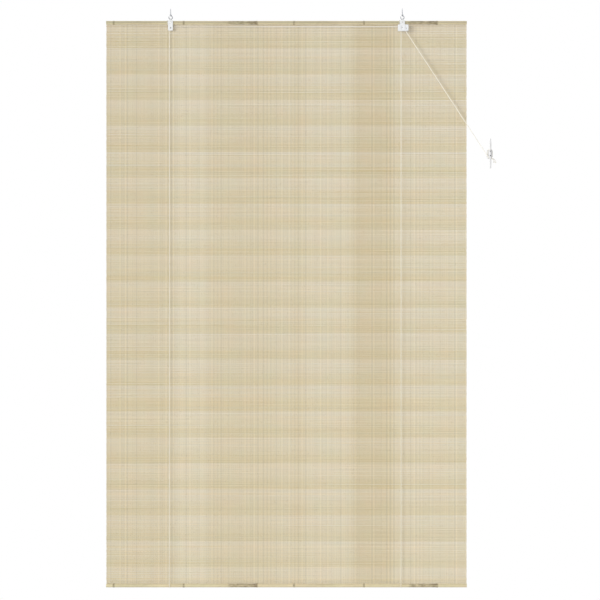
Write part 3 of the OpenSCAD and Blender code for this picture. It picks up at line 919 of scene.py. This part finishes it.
@dataclass
class CordSet:
    """The lift cords, the pull cords, their ties and the knots at their ends."""

    cotton: bpy.types.Material
    cord: TwistedCord
    pitch_r: float = 0.0044
    cane_r: float = CANE_R
    cord_clear: float = 0.0003
    tie_side: float = 0.0121
    tie_span: Span = (-18.0, 330.0)
    knot_r: float = 0.0024
    knot_l: float = 0.005
    cord_spacing: float = 0.0024
    base_t: float = 0.0035
    neck_w: float = 0.015
    neck_h: float = 0.032
    neck_l: float = 0.028
    horn_r: float = 0.0042
    horn_gap: float = 0.0011
    turn_points: int = 70
    turn_end: float = 630.0
    upper_turn: Span = (360.0, 540.0)
    rear_tail: tuple[Triple, ...] = (
        (0.007, 0.0006, -0.001), (0.012, 0.0012, -0.004), (0.015, 0.0016, -0.0085), (0.0155, 0.0016, -0.012))
    front_tail: tuple[Triple, ...] = (
        (0.008, 0.0, -0.0008), (0.015, 0.0, -0.0035), (0.020, 0.0, -0.0085), (0.0215, 0.0, -0.014))

    def build(self) -> None:
        """Makes all the cords of the blind."""
        pulley = joint_place("left_pulley_spin")
        roller = joint_place("lock_roller_spin")
        rear_y = roller.y + self.cord_spacing / 2
        front_y = roller.y - self.cord_spacing / 2
        left_top = Vector((pulley.x - self.pitch_r, pulley.y, pulley.z))
        right_top = Vector((roller.x - self.pitch_r, front_y, roller.z))
        self.lift_cord("left", pulley.x - self.tie_side, left_top)
        self.lift_cord("right", -pulley.x - self.tie_side, right_top)
        horn_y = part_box("cleat")[1].y - self.base_t - self.neck_l
        front_start = horn_y + self.horn_r + self.horn_gap + self.cord.diameter / 2
        angle = self.pull_angle(roller)
        over_pulley = Route.arc(pulley, self.pitch_r, 180.0, 90.0, pulley.y)
        rear_arc = Route.arc(roller, self.pitch_r, 90.0, angle + 90.0, rear_y)
        front_arc = Route.arc(roller, self.pitch_r, 180.0, angle + 90.0, front_y)
        self.pull_cord("left", over_pulley + rear_arc, angle, front_start + self.cord_spacing, self.rear_tail)
        self.pull_cord("right", front_arc, angle, front_start, self.front_tail)

    def neck_low(self) -> Vector:
        """Returns the middle of the lower half round of the cleat's neck."""
        middle = middle_of("cleat")
        return Vector((middle.x, 0.0, middle.z - (self.neck_h - self.neck_w) / 2))

    def wind_r(self) -> float:
        """Returns the radius of a turn of cord round the cleat's neck."""
        return self.neck_w / 2 + self.cord_clear + self.cord.diameter / 2

    def pull_angle(self, roller: Vector) -> float:
        """Works out the slope of the straight pull from the lock to the cleat.

        Args:
            roller: The middle of the lock's roller.

        Returns:
            The angle in degrees, from +X towards +Z.
        """
        span = self.neck_low() - roller
        reach = math.hypot(span.x, span.z)
        return math.degrees(math.atan2(span.z, span.x) - math.asin((self.pitch_r + self.wind_r()) / reach))

    def lift_cord(self, side: str, tie_x: float, top: Vector) -> None:
        """Makes one lift cord: tie, back strand, bight under the bottom cane and front strand.

        Args:
            side: The cord's side, left or right.
            tie_x: Where it is tied to the top cane.
            top: Where its front strand reaches its pulley.
        """
        top_z = middle_of("top_cane").z
        bottom_z = middle_of("bottom_cane").z
        loop_r = self.cane_r + self.cord_clear + self.cord.diameter / 2
        knot_y = self.cane_r + self.cord_clear + self.knot_r
        knot_top = Vector((tie_x, knot_y, top_z))
        knot_foot = Vector((tie_x, knot_y, top_z - self.knot_l))
        back_foot = Vector((top.x, loop_r, bottom_z))
        front_foot = Vector((top.x, -loop_r, bottom_z))
        ring = Route.loop(tie_x, top_z, loop_r, *self.tie_span)
        shells = [self.cord.tube("tie_loop", Route(tuple(ring)))[0],
                  self.cord.knot("tie_knot", knot_top, self.knot_r, self.knot_l)]
        tie = join_pieces(f"{side}_tie", shells)
        finish_piece(tie, f"{side}_tie", Body.BLIND, self.cotton)
        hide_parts(f"{side}_cord_tie")
        bight = Route.loop(top.x, bottom_z, loop_r, 0.0, -180.0)
        turn = self.cord.tube("bight", Route(tuple(bight)))[0]
        finish_piece(turn, f"{side}_lift_bight", Body.BOTTOM_BAR, self.cotton)
        back, back_line = self.strand(f"{side}_lift_back", knot_foot, back_foot)
        front, front_line = self.strand(f"{side}_lift_front", top, front_foot)
        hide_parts(f"{side}_lift_cord")

    def strand(self, name: str, start: Vector, foot: Vector) -> tuple[bpy.types.Object, np.ndarray]:
        """Makes one straight strand of a lift cord.

        Args:
            name: The strand's name.
            start: Its upper end.
            foot: Its lower end.

        Returns:
            The strand, and the points along its middle.
        """
        piece, line = self.cord.tube(name, Route((start, foot)))
        finish_piece(piece, name, Body.BLIND, self.cotton)
        roll_with_bar(piece)
        return piece, line

    def pull_cord(self, side: str, arcs: list[Vector], angle: float, start_y: float,
                  tail: Sequence[Triple]) -> None:
        """Makes one cord from its pulley over the lock's roller to the cleat, with its end knot.

        Args:
            side: The cord's side, left or right.
            arcs: Its points on the pulley and the roller.
            angle: The slope of the straight pull, in degrees.
            start_y: The depth at which it reaches the cleat's neck.
            tail: Places of its free end, from the end of the turn.
        """
        low = self.neck_low()
        radius = self.wind_r()
        first = angle + 270.0
        # Each whole turn leaves room beside it for the other cord's turn
        turn_step = 2 * self.cord_spacing
        turn = []
        for i in range(self.turn_points + 1):
            degrees = first + (self.turn_end - first) * i / self.turn_points
            is_upper = self.upper_turn[0] < degrees < self.upper_turn[1]
            lift = self.neck_h - self.neck_w if is_upper else 0.0
            turn.append(Vector((low.x + radius * math.cos(math.radians(degrees)),
                                start_y + turn_step * (degrees - first) / 360.0,
                                low.z + lift + radius * math.sin(math.radians(degrees)))))
        end = [turn[-1] + Vector(place) for place in tail]
        piece, line = self.cord.tube("pull", Route(tuple(arcs + turn + end)))
        finish_piece(piece, f"{side}_pull_twist", Body.BLIND, self.cotton)
        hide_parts(f"{side}_pull_cord")
        knot = self.cord.knot("knot", end[-1], self.knot_r, self.knot_l)
        finish_piece(knot, f"{side}_end_knot", Body.BLIND, self.cotton)
        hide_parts("cord_end_knots")


@dataclass
class ReedMat:
    """The mat of split reeds, the warp threads that hold them and their ties to the canes."""

    reed: bpy.types.Material
    thread: bpy.types.Material
    low: Vector
    high: Vector
    reach: float = 0.0006
    reeds: int = 693
    reed_share: float = 0.92
    reed_t: float = 0.0018
    reed_sides: int = 8
    reed_crease: float = 50.0
    stretches: int = 8
    thin_span: Span = (0.94, 1.0)
    uneven: float = 0.00008
    bow_waves: float = 3.0
    depth_waves: float = 4.0
    depth_share: float = 0.8
    ragged: float = 0.0012
    end_share: float = 0.99
    warp_spacing: float = 0.023
    warp_count: int = 61
    thread_r: float = 0.00028
    thread_sides: int = 3
    thread_crease: float = 80.0
    tie_gap: float = 0.0008
    tie_steps: int = 32
    tie_sides: int = 6
    cane_r: float = CANE_R
    seed: int = 7

    def pitch(self) -> float:
        """Returns the distance between two reeds."""
        return (self.high.z - self.low.z) / self.reeds

    def build(self) -> None:
        """Makes the reeds, the threads and the ties."""
        reeds = self.make_reeds()
        finish_piece(reeds, "split_reeds", Body.BLIND, self.reed)
        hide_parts("reed_mat")
        roll_with_bar(reeds)
        for name, phase, first in (("front_warp", 0, 0), ("back_warp", 1, 0),
                                   ("front_fill_warp", 0, 1), ("back_fill_warp", 1, 1)):
            threads = self.make_threads(phase, self.warp_places()[first::2])
            finish_piece(threads, name, Body.BLIND, self.thread)
            roll_with_bar(threads)
        for name, node, body in (("top_warp_ties", "top_cane", Body.BLIND),
                                 ("bottom_warp_ties", "bottom_cane", Body.BOTTOM_BAR)):
            ties = self.make_ties(middle_of(node).z)
            finish_piece(ties, name, body, self.thread)

    def make_reeds(self) -> bpy.types.Object:
        """Models one reed, repeats it down the mat and makes each a little uneven.

        Returns:
            The reeds as one object, with each reed's tone in an attribute.
        """
        width = self.high.x - self.low.x
        reed = start_from(bpy.ops.mesh.primitive_cylinder_add, vertices=self.reed_sides, radius=0.5,
                          depth=1.0, rotation=(0.0, math.pi / 2, 0.0))
        with editing(reed):
            bpy.ops.mesh.select_all(action="SELECT")
            bpy.ops.transform.resize(value=(width, self.reed_t, self.pitch() * self.reed_share))
            bpy.ops.transform.translate(value=(0.0, 0.0, self.high.z - self.pitch() / 2))
            select_edges(reed, lambda a, b: abs(a.x - b.x) > width / 2)
            bpy.ops.mesh.subdivide(number_cuts=self.stretches - 1)
        repeat_along(reed, self.reeds, (0.0, 0.0, -self.pitch()))
        self._make_uneven(reed, width)
        smooth(reed, self.reed_crease)
        return reed

    def _make_uneven(self, reed: bpy.types.Object, width: float) -> None:
        """Bends, tilts and trims each reed by its own small amounts, and stores its tone.

        Args:
            reed: The repeated reeds.
            width: The width of the mat.
        """
        draw = np.random.default_rng(self.seed)
        points = np.empty(len(reed.data.vertices) * 3)
        reed.data.vertices.foreach_get("co", points)
        points = points.reshape(self.reeds, -1, 3)
        along = points[:, :, 0] / (width / 2)
        middle = self.high.z - self.pitch() * (np.arange(self.reeds) + 0.5)
        size = draw.uniform(*self.thin_span, (self.reeds, 1))
        tilt = draw.normal(0.0, self.uneven, (self.reeds, 1))
        bow = draw.normal(0.0, self.uneven, (self.reeds, 1))
        phase = draw.uniform(0.0, 2 * math.pi, (self.reeds, 1))
        height = points[:, :, 2] - middle[:, None]
        wave = bow * np.sin(self.bow_waves * along + phase)
        depth = self.depth_share * bow * np.cos(self.depth_waves * along + phase)
        points[:, :, 2] = middle[:, None] + height * size + tilt * along + wave
        points[:, :, 1] = points[:, :, 1] * size + depth
        trim = draw.uniform(-self.ragged, 0.0, (self.reeds, 2))
        at_end = np.abs(along) > self.end_share
        end_trim = np.where(along > 0, trim[:, :1], -trim[:, 1:])
        points[:, :, 0] += np.where(at_end, end_trim, 0.0)
        reed.data.vertices.foreach_set("co", points.ravel())
        tones = np.repeat(draw.uniform(0.0, 1.0, self.reeds), points.shape[1])
        attribute = reed.data.attributes.new("reed_tone", "FLOAT", "POINT")
        attribute.data.foreach_set("value", tones.astype(np.float32))
        reed.data.update()

    def warp_places(self) -> list[float]:
        """Returns where the warp threads run down the mat."""
        half = (self.warp_count - 1) / 2
        return [(i - half) * self.warp_spacing for i in range(self.warp_count)]

    def make_threads(self, phase: int, places: Sequence[float]) -> bpy.types.Object:
        """Weaves one thread over and under the reeds, and repeats it at each of its places.

        Args:
            phase: 0 starts in front of the first reed, 1 behind it.
            places: Where the threads run, evenly spaced across the mat.

        Returns:
            The threads as one object.
        """
        swing = self.reed_t / 2 + self.thread_r
        x = places[0] + self.thread_r * (1 if phase else -1)
        section = self._thread_section()
        bpy.ops.curve.primitive_nurbs_path_add()
        thread = bpy.context.object
        thread.data.bevel_mode = "OBJECT"
        thread.data.bevel_object = section
        thread.data.use_fill_caps = True
        thread.data.splines.clear()
        spline = thread.data.splines.new("POLY")
        spline.points.add(self.reeds + 1)
        spline.points[0].co = (x, 0.0, self.high.z + self.tie_gap, 1.0)
        spline.points[-1].co = (x, 0.0, self.low.z - self.tie_gap, 1.0)
        for i, point in enumerate(spline.points[1:-1]):
            side = -1 if (i + phase) % 2 == 0 else 1
            point.co = (x, side * swing, self.high.z - self.pitch() * (i + 0.5), 1.0)
        activate(thread)
        bpy.ops.object.convert(target="MESH")
        bpy.data.objects.remove(section)
        thread = bpy.context.object
        repeat_along(thread, len(places), (places[1] - places[0], 0.0, 0.0))
        smooth(thread, self.thread_crease)
        return thread

    def _thread_section(self) -> bpy.types.Object:
        """Draws the outline of a thread, which is swept along its way, and returns it."""
        deselect_all()
        bpy.ops.curve.primitive_nurbs_circle_add(radius=self.thread_r)
        section = bpy.context.object
        section.data.splines.clear()
        outline = section.data.splines.new("POLY")
        outline.points.add(self.thread_sides - 1)
        outline.use_cyclic_u = True
        for i, point in enumerate(outline.points):
            angle = 2 * math.pi * i / self.thread_sides
            point.co = (self.thread_r * math.cos(angle), self.thread_r * math.sin(angle), 0.0, 1.0)
        return section

    def make_ties(self, cane_z: float) -> bpy.types.Object:
        """Loops every second warp thread round a cane.

        Args:
            cane_z: The height of the cane's middle.

        Returns:
            The loops as one object.
        """
        places = self.warp_places()[::2]
        tie = start_from(bpy.ops.mesh.primitive_torus_add, major_radius=self.cane_r + self.thread_r,
                         minor_radius=self.thread_r, major_segments=self.tie_steps,
                         minor_segments=self.tie_sides, location=(places[0], 0.0, cane_z),
                         rotation=(0.0, math.pi / 2, 0.0))
        repeat_along(tie, len(places), (places[1] - places[0], 0.0, 0.0))
        smooth(tie, self.thread_crease)
        return tie


@dataclass
class Cane:
    """A bamboo cane with swollen joints and hollow cut ends."""

    name: str
    node: str
    body: Body
    skin: bpy.types.Material
    radius: float = CANE_R
    sides: int = 40
    crease: float = 50.0
    bore_r: float = 0.0035
    bore_l: float = 0.018
    joint_l: float = 0.010
    joint_rise: float = 0.0007
    joints: tuple[float, ...] = (-0.671, -0.399, -0.115, 0.029, 0.301, 0.585)
    joint_l_shares: tuple[float, ...] = (-0.5, -0.3, -0.14, -0.06, 0.0, 0.05, 0.12, 0.3, 0.5)
    joint_rise_shares: tuple[float, ...] = (0.0, 0.3, 0.75, 0.5, 0.1, 0.6, 1.0, 0.35, 0.0)

    def build(self) -> None:
        """Models the cane and puts it in its node's place."""
        low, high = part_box(self.node)
        half = (high.x - low.x) / 2
        z = middle_of(self.node).z
        cane = start_from(bpy.ops.mesh.primitive_cylinder_add, vertices=self.sides, radius=self.radius,
                          depth=2 * half, location=(0.0, 0.0, z), rotation=(0.0, math.pi / 2, 0.0))
        with editing(cane):
            for joint in self.joints:
                self._swell(cane, joint, z)
            for side in (-1, 1):
                self._hollow_end(cane, side * half)
            bpy.ops.mesh.select_all(action="SELECT")
            bpy.ops.mesh.normals_make_consistent(inside=False)
        smooth(cane, self.crease)
        finish_piece(cane, self.name, self.body, self.skin)
        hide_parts(self.node)

    def _swell(self, cane: bpy.types.Object, joint: float, z: float) -> None:
        """Cuts rings round one joint and swells them.

        Args:
            cane: The open mesh.
            joint: Where the joint lies along the cane.
            z: The height of the cane's middle.
        """
        places = [joint + self.joint_l * share for share in self.joint_l_shares]
        for x in places:
            bpy.ops.mesh.select_all(action="SELECT")
            bpy.ops.mesh.bisect(plane_co=(x, 0.0, z), plane_no=Axis.ACROSS.value)
        for x, rise_share in zip(places, self.joint_rise_shares):
            select_vertices(cane, lambda co, x=x: abs(co.x - x) < SNAP)
            grow = 1.0 + self.joint_rise * rise_share / self.radius
            bpy.ops.transform.resize(value=(1.0, grow, grow), center_override=(x, 0.0, z))

    def _hollow_end(self, cane: bpy.types.Object, end: float) -> None:
        """Insets a cut end and sinks its hollow.

        Args:
            cane: The open mesh.
            end: Where the cut end lies along the cane.
        """
        inwards = -math.copysign(self.bore_l, end)
        select_vertices(cane, lambda co: abs(co.x - end) < SNAP)
        bpy.ops.mesh.select_mode(type="FACE")
        bpy.ops.mesh.inset(thickness=self.radius - self.bore_r)
        bpy.ops.mesh.extrude_region_move(TRANSFORM_OT_translate={"value": (inwards, 0.0, 0.0)})


@dataclass
class ScrewHook:
    """A zinc plated hook: threaded screw, collar and a wire loop that is open at its upper left."""

    side: str
    x: float
    zinc: bpy.types.Material
    screw_r: float = 0.002
    core_r: float = 0.00145
    screw_l: float = 0.022
    tip_l: float = 0.006
    tip_share: float = 0.15
    thread_pitch: float = 0.0018
    thread_from: float = 0.003
    ridge_share: float = 0.3
    thread_steps: int = 20
    collar_r: float = 0.0045
    collar_t: float = 0.002
    collar_sides: int = 40
    rim_share: float = 0.25
    rim_segments: int = 3
    neck_l: float = 0.002
    flare: float = 1.35
    flare_share: float = 0.4
    rod_sides: int = 24
    loop_r: float = 0.0068
    loop_steps: int = 48
    wire_r: float = 0.0017
    wire_sides: int = 16
    bead_r: float = 0.0019
    bead_sides: int = 20
    bead_rings: int = 12
    neck_angle: float = 90.0
    mouth: float = 70.0
    crease: float = 40.0

    def build(self) -> None:
        """Models the hook and puts it in its node's place."""
        shells = [self._screw(), self._thread(), self._collar(), self._neck(), self._loop()]
        shells += [self._bead(self.neck_angle), self._bead(self.neck_angle + self.mouth)]
        hook = join_pieces(f"{self.side}_screw_hook", shells)
        smooth(hook, self.crease)
        finish_piece(hook, f"{self.side}_screw_hook", Body.BLIND, self.zinc)
        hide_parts(f"{self.side}_hook")

    def loop_z(self) -> float:
        """Returns the height of the loop's middle."""
        return -self.collar_t - self.neck_l - self.loop_r

    def _screw(self) -> bpy.types.Object:
        """Turns the screw's core, with a smooth shank below and a point above."""
        core = start_from(bpy.ops.mesh.primitive_cylinder_add, vertices=self.rod_sides, radius=self.core_r,
                          depth=self.screw_l, location=(self.x, 0.0, self.screw_l / 2))
        with editing(core):
            select_vertices(core, lambda co: co.z > self.screw_l - SNAP)
            bpy.ops.mesh.extrude_region_move(TRANSFORM_OT_translate={"value": (0.0, 0.0, self.tip_l)})
            tip = (self.x, 0.0, self.screw_l + self.tip_l)
            bpy.ops.transform.resize(value=(self.tip_share, self.tip_share, 1.0), center_override=tip)
            bpy.ops.mesh.select_all(action="SELECT")
            bpy.ops.mesh.bisect(plane_co=(self.x, 0.0, self.thread_from), plane_no=Axis.UP.value)
            select_vertices(core, lambda co: co.z < self.thread_from - SNAP)
            grow = self.screw_r / self.core_r
            bpy.ops.transform.resize(value=(grow, grow, 1.0), center_override=(self.x, 0.0, 0.0))
        return core

    def _thread(self) -> bpy.types.Object:
        """Winds the screw's thread as a closed ridge."""
        turns = int((self.screw_l - self.thread_from) / self.thread_pitch)
        half = self.thread_pitch * self.ridge_share
        root = self.core_r - half / 2
        corners = ((root, -half), (root, half), (self.screw_r, 0.0))
        ridge = start_from(bpy.ops.mesh.primitive_circle_add, vertices=len(corners), radius=half,
                           fill_type="NOTHING", rotation=(math.pi / 2, 0.0, 0.0))
        for vertex, (out, up) in zip(ridge.data.vertices, corners):
            vertex.co = (out, 0.0, self.thread_from + half + up)
        apply_modifier(ridge, "SCREW", axis="Z", angle=2 * math.pi, screw_offset=self.thread_pitch,
                       iterations=turns, steps=self.thread_steps, render_steps=self.thread_steps,
                       use_merge_vertices=False)
        with editing(ridge):
            bpy.ops.mesh.select_all(action="SELECT")
            bpy.ops.mesh.fill_holes(sides=0)
            bpy.ops.mesh.normals_make_consistent(inside=False)
            bpy.ops.transform.translate(value=(self.x, 0.0, 0.0))
        return ridge

    def _collar(self) -> bpy.types.Object:
        """Turns the collar, with its rim eased."""
        collar = start_from(bpy.ops.mesh.primitive_cylinder_add, vertices=self.collar_sides,
                            radius=self.collar_r, depth=self.collar_t,
                            location=(self.x, 0.0, -self.collar_t / 2))
        apply_modifier(collar, "BEVEL", width=self.collar_t * self.rim_share, segments=self.rim_segments,
                       limit_method="ANGLE")
        return collar

    def _neck(self) -> bpy.types.Object:
        """Makes the wire between the collar and the loop, flared into the collar."""
        top = -self.collar_t
        neck = start_from(bpy.ops.mesh.primitive_cylinder_add, vertices=self.rod_sides, radius=self.wire_r,
                          depth=self.neck_l, location=(self.x, 0.0, top - self.neck_l / 2))
        with editing(neck):
            bpy.ops.mesh.select_all(action="SELECT")
            flare_z = top - self.neck_l * self.flare_share
            bpy.ops.mesh.bisect(plane_co=(self.x, 0.0, flare_z), plane_no=Axis.UP.value)
            select_vertices(neck, lambda co: co.z > top - SNAP)
            bpy.ops.transform.resize(value=(self.flare, self.flare, 1.0), center_override=(self.x, 0.0, top))
        return neck

    def _loop(self) -> bpy.types.Object:
        """Bends the wire of the loop, from its neck round to its open mouth."""
        loop = start_from(bpy.ops.mesh.primitive_circle_add, vertices=self.wire_sides, radius=self.wire_r,
                          fill_type="NGON", location=(self.x, 0.0, self.loop_z() + self.loop_r),
                          rotation=(0.0, math.pi / 2, 0.0))
        with editing(loop):
            bpy.ops.mesh.select_all(action="SELECT")
            bpy.ops.mesh.spin(steps=self.loop_steps, angle=math.radians(self.mouth - 360.0),
                              axis=Axis.DEPTH.value, center=(self.x, 0.0, self.loop_z()))
        face_outwards(loop)
        return loop

    def _bead(self, degrees: float) -> bpy.types.Object:
        """Rounds an end of the loop.

        Args:
            degrees: Where the end lies, round the loop's middle from the right.

        Returns:
            The bead.
        """
        angle = math.radians(degrees)
        place = (self.x + self.loop_r * math.cos(angle), 0.0, self.loop_z() + self.loop_r * math.sin(angle))
        return start_from(bpy.ops.mesh.primitive_uv_sphere_add, segments=self.bead_sides,
                          ring_count=self.bead_rings, radius=self.bead_r, location=place)


@dataclass
class Fittings:
    """Straps, screws, pulley, cord lock and cleat, whose shapes come from the frame."""

    edge: float = 0.00025
    edge_segments: int = 2
    flat_angle: float = 0.5
    sharp_angle: float = 50.0
    crease: float = 40.0

    def build(self) -> None:
        """Dresses the nodes that stay, and eases the edges of the larger ones."""
        strap = CoatFinish("white_enamel", colour=(0.88, 0.89, 0.89), roughness=0.38, coat=0.2).material()
        lock = CoatFinish("lock_moulding", colour=(0.86, 0.87, 0.88), roughness=0.42).material()
        # The cleat is white plastic, greyed all over as painted shade
        cleat = CoatFinish("cleat_moulding_painted_shade", colour=(0.76, 0.76, 0.765), roughness=0.40).material()
        roller = CoatFinish("roller_moulding", colour=(0.70, 0.70, 0.69), roughness=0.45).material()
        nickel = MetalFinish("nickel_plate", colour=(0.72, 0.71, 0.69), roughness=0.34).material()
        steel = MetalFinish("bare_steel", colour=(0.42, 0.42, 0.43), roughness=0.40).material()
        brass = MetalFinish("pawl_brass", colour=(0.70, 0.52, 0.24), roughness=0.35).material()
        plain = {"hanger_screws": nickel, "lock_rivets": nickel, "pulley_axle": steel, "roller_axle": steel,
                 "pawl_pin": steel, "left_pulley": roller, "lock_roller": roller, "lock_pawl": brass}
        for node, material in plain.items():
            self.dress(node, material)
        for node, slot, material in (("left_hanger", Slot.STRAP, strap), ("right_hanger", Slot.STRAP, strap),
                                     ("lock_housing", Slot.LOCK, lock), ("lock_cover", Slot.LOCK, lock),
                                     ("cleat", Slot.CLEAT, cleat)):
            self.ease_edges(node, material)

    def dress(self, node: str, material: bpy.types.Material) -> None:
        """Gives a node that stays its finish.

        Args:
            node: The node's name.
            material: Its material.
        """
        piece = frame["nodes"][node]
        piece.data.materials.clear()
        piece.data.materials.append(material)
        LOG.info("%s: dressed as it is", node)

    def ease_edges(self, node: str, material: bpy.types.Material) -> None:
        """Copies a node and eases the sharp edges of the copy.

        Args:
            node: The node's name.
            material: Its material.
        """
        piece = frame["nodes"][node].copy()
        piece.data = frame["nodes"][node].data.copy()
        piece.parent = None
        for key in list(piece.keys()):
            del piece[key]
        bpy.context.scene.collection.objects.link(piece)
        with editing(piece):
            bpy.ops.mesh.select_all(action="SELECT")
            bpy.ops.mesh.remove_doubles(threshold=SNAP)
            bpy.ops.mesh.dissolve_limited(angle_limit=math.radians(self.flat_angle))
        apply_modifier(piece, "BEVEL", width=self.edge, segments=self.edge_segments, limit_method="ANGLE",
                       angle_limit=math.radians(self.sharp_angle), use_clamp_overlap=True)
        smooth(piece, self.crease)
        finish_piece(piece, f"{node}_eased", Body.BLIND, material)
        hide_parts(node)


@dataclass
class Studio:
    """The camera at the photograph's place, the pale floor and the soft light."""

    eye: Triple = (0.0525, -6.474, -1.1076)
    lens: float = 100.0
    sensor: float = 36.0
    white: Colour = (1.0, 1.0, 1.0)
    floor_z: float = -2.42
    floor_half_w: float = 1.8
    floor_front: float = -1.6
    floor_back: float = 0.38
    floor_colour: Colour = (0.95, 0.95, 0.94)
    floor_scale: float = 6.0
    floor_span: Span = (0.98, 1.02)
    floor_roughness: float = 0.7
    floor_glow: float = 0.3
    key_strength: float = 1.65
    key_angle: float = 26.0
    key_side: float = 56.0
    key_rise: float = 8.0
    sky_above: float = 0.55
    sky_below: float = 0.84

    def set_camera(self) -> None:
        """Places the camera square in front of the blind."""
        data = bpy.data.cameras.new("front_view")
        data.lens = self.lens
        data.sensor_width = self.sensor
        camera = bpy.data.objects.new("front_view", data)
        camera.location = self.eye
        camera.rotation_euler = (math.pi / 2, 0.0, 0.0)
        bpy.context.scene.collection.objects.link(camera)
        bpy.context.scene.camera = camera

    def set_sky(self) -> None:
        """Surrounds the blind with white, which lights it a little less from above than from below."""
        bpy.context.scene.view_settings.view_transform = "Standard"
        sheet = ShaderSheet(bpy.data.worlds.new("white_room"), "Background")
        rays = sheet.add("LightPath").outputs
        shown = sheet.math("MAXIMUM", rays["Is Camera Ray"], rays["Is Glossy Ray"])
        shown = sheet.math("MAXIMUM", shown, rays["Is Transmission Ray"])
        level = (self.sky_above + self.sky_below) / 2
        glow = sheet.spread(sheet.axis("Z", "Generated"), (level, self.sky_above))
        sheet.set(color=self.white, strength=sheet.spread(shown, (glow, 1.0)))
        bpy.context.scene.world = sheet.owner

    def set_key(self) -> None:
        """Sets the soft light from the left front."""
        lamp = bpy.data.lights.new("key", "SUN")
        lamp.energy = self.key_strength
        lamp.angle = math.radians(self.key_angle)
        key = bpy.data.objects.new("key", lamp)
        side = math.radians(self.key_side)
        rise = math.radians(self.key_rise)
        source = Vector((-math.sin(side) * math.cos(rise), -math.cos(side) * math.cos(rise), math.sin(rise)))
        key.rotation_euler = source.to_track_quat("Z", "Y").to_euler()
        bpy.context.scene.collection.objects.link(key)

    def lay_floor(self) -> None:
        """Lays the pale floor below the blind."""
        floor = start_from(bpy.ops.mesh.primitive_plane_add, size=1.0, location=(0.0, 0.0, self.floor_z))
        floor.name = "floor"
        with editing(floor):
            bpy.ops.mesh.select_all(action="SELECT")
            depth = self.floor_back - self.floor_front
            bpy.ops.transform.resize(value=(2 * self.floor_half_w, depth, 1.0),
                                     center_override=(0.0, 0.0, self.floor_z))
            bpy.ops.transform.translate(value=(0.0, (self.floor_back + self.floor_front) / 2, 0.0))
        sheet = ShaderSheet(bpy.data.materials.new("pale_floor"))
        colour = sheet.vary(self.floor_colour, sheet.noise(self.floor_scale), self.floor_span)
        seen = sheet.add("LightPath").outputs["Is Camera Ray"]
        sheet.set(base_color=colour, roughness=self.floor_roughness, emission_color=self.white,
                  emission_strength=sheet.math("MULTIPLY", seen, self.floor_glow))
        floor.data.materials.append(sheet.owner)


def main() -> None:
    """Builds the blind piece by piece."""
    logging.basicConfig(level=logging.INFO, format="%(message)s")
    studio = Studio()
    studio.set_camera()
    cotton = CottonFinish("cotton_cord", colour=(0.94, 0.90, 0.80)).material()
    thread = CottonFinish("warp_thread", colour=(0.74, 0.66, 0.48)).material()
    CordSet(cotton, TwistedCord()).build()
    low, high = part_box("reed_mat")
    low.z -= ReedMat.reach
    high.z += ReedMat.reach
    reed = ReedFinish("split_reed").material(high.x - low.x, low.z)
    ReedMat(reed, thread, low, high).build()
    # Painted shade on the top cane's upper side, painted light underneath
    top_skin = CaneFinish("top_cane_skin", skin=(0.715, 0.627, 0.418), upper_painted_light=0.71, under_painted_light=1.08,
                          middle_z=middle_of("top_cane").z).material()
    # The bottom cane's skin is a lighter copy of the top cane's: painted light, more on its upper side,
    # slight painted shade underneath
    low_skin = CaneFinish("low_cane_painted_light_skin", skin=(0.770, 0.680, 0.445), upper_painted_light=1.05, under_painted_light=0.98,
                          middle_z=middle_of("bottom_cane").z).material()
    Cane("top_bamboo", "top_cane", Body.BLIND, top_skin).build()
    Cane("bottom_bamboo", "bottom_cane", Body.BOTTOM_BAR, low_skin).build()
    zinc = MetalFinish("zinc_plate", colour=(0.36, 0.37, 0.39), roughness=0.45, tip_light=1.7).material()
    hook_x = joint_place("left_pulley_spin").x
    ScrewHook("left", hook_x, zinc).build()
    ScrewHook("right", -hook_x, zinc).build()
    Fittings().build()
    studio.set_sky()
    studio.set_key()
    studio.lay_floor()
    deselect_all()


if __name__ == "__main__":
    main()
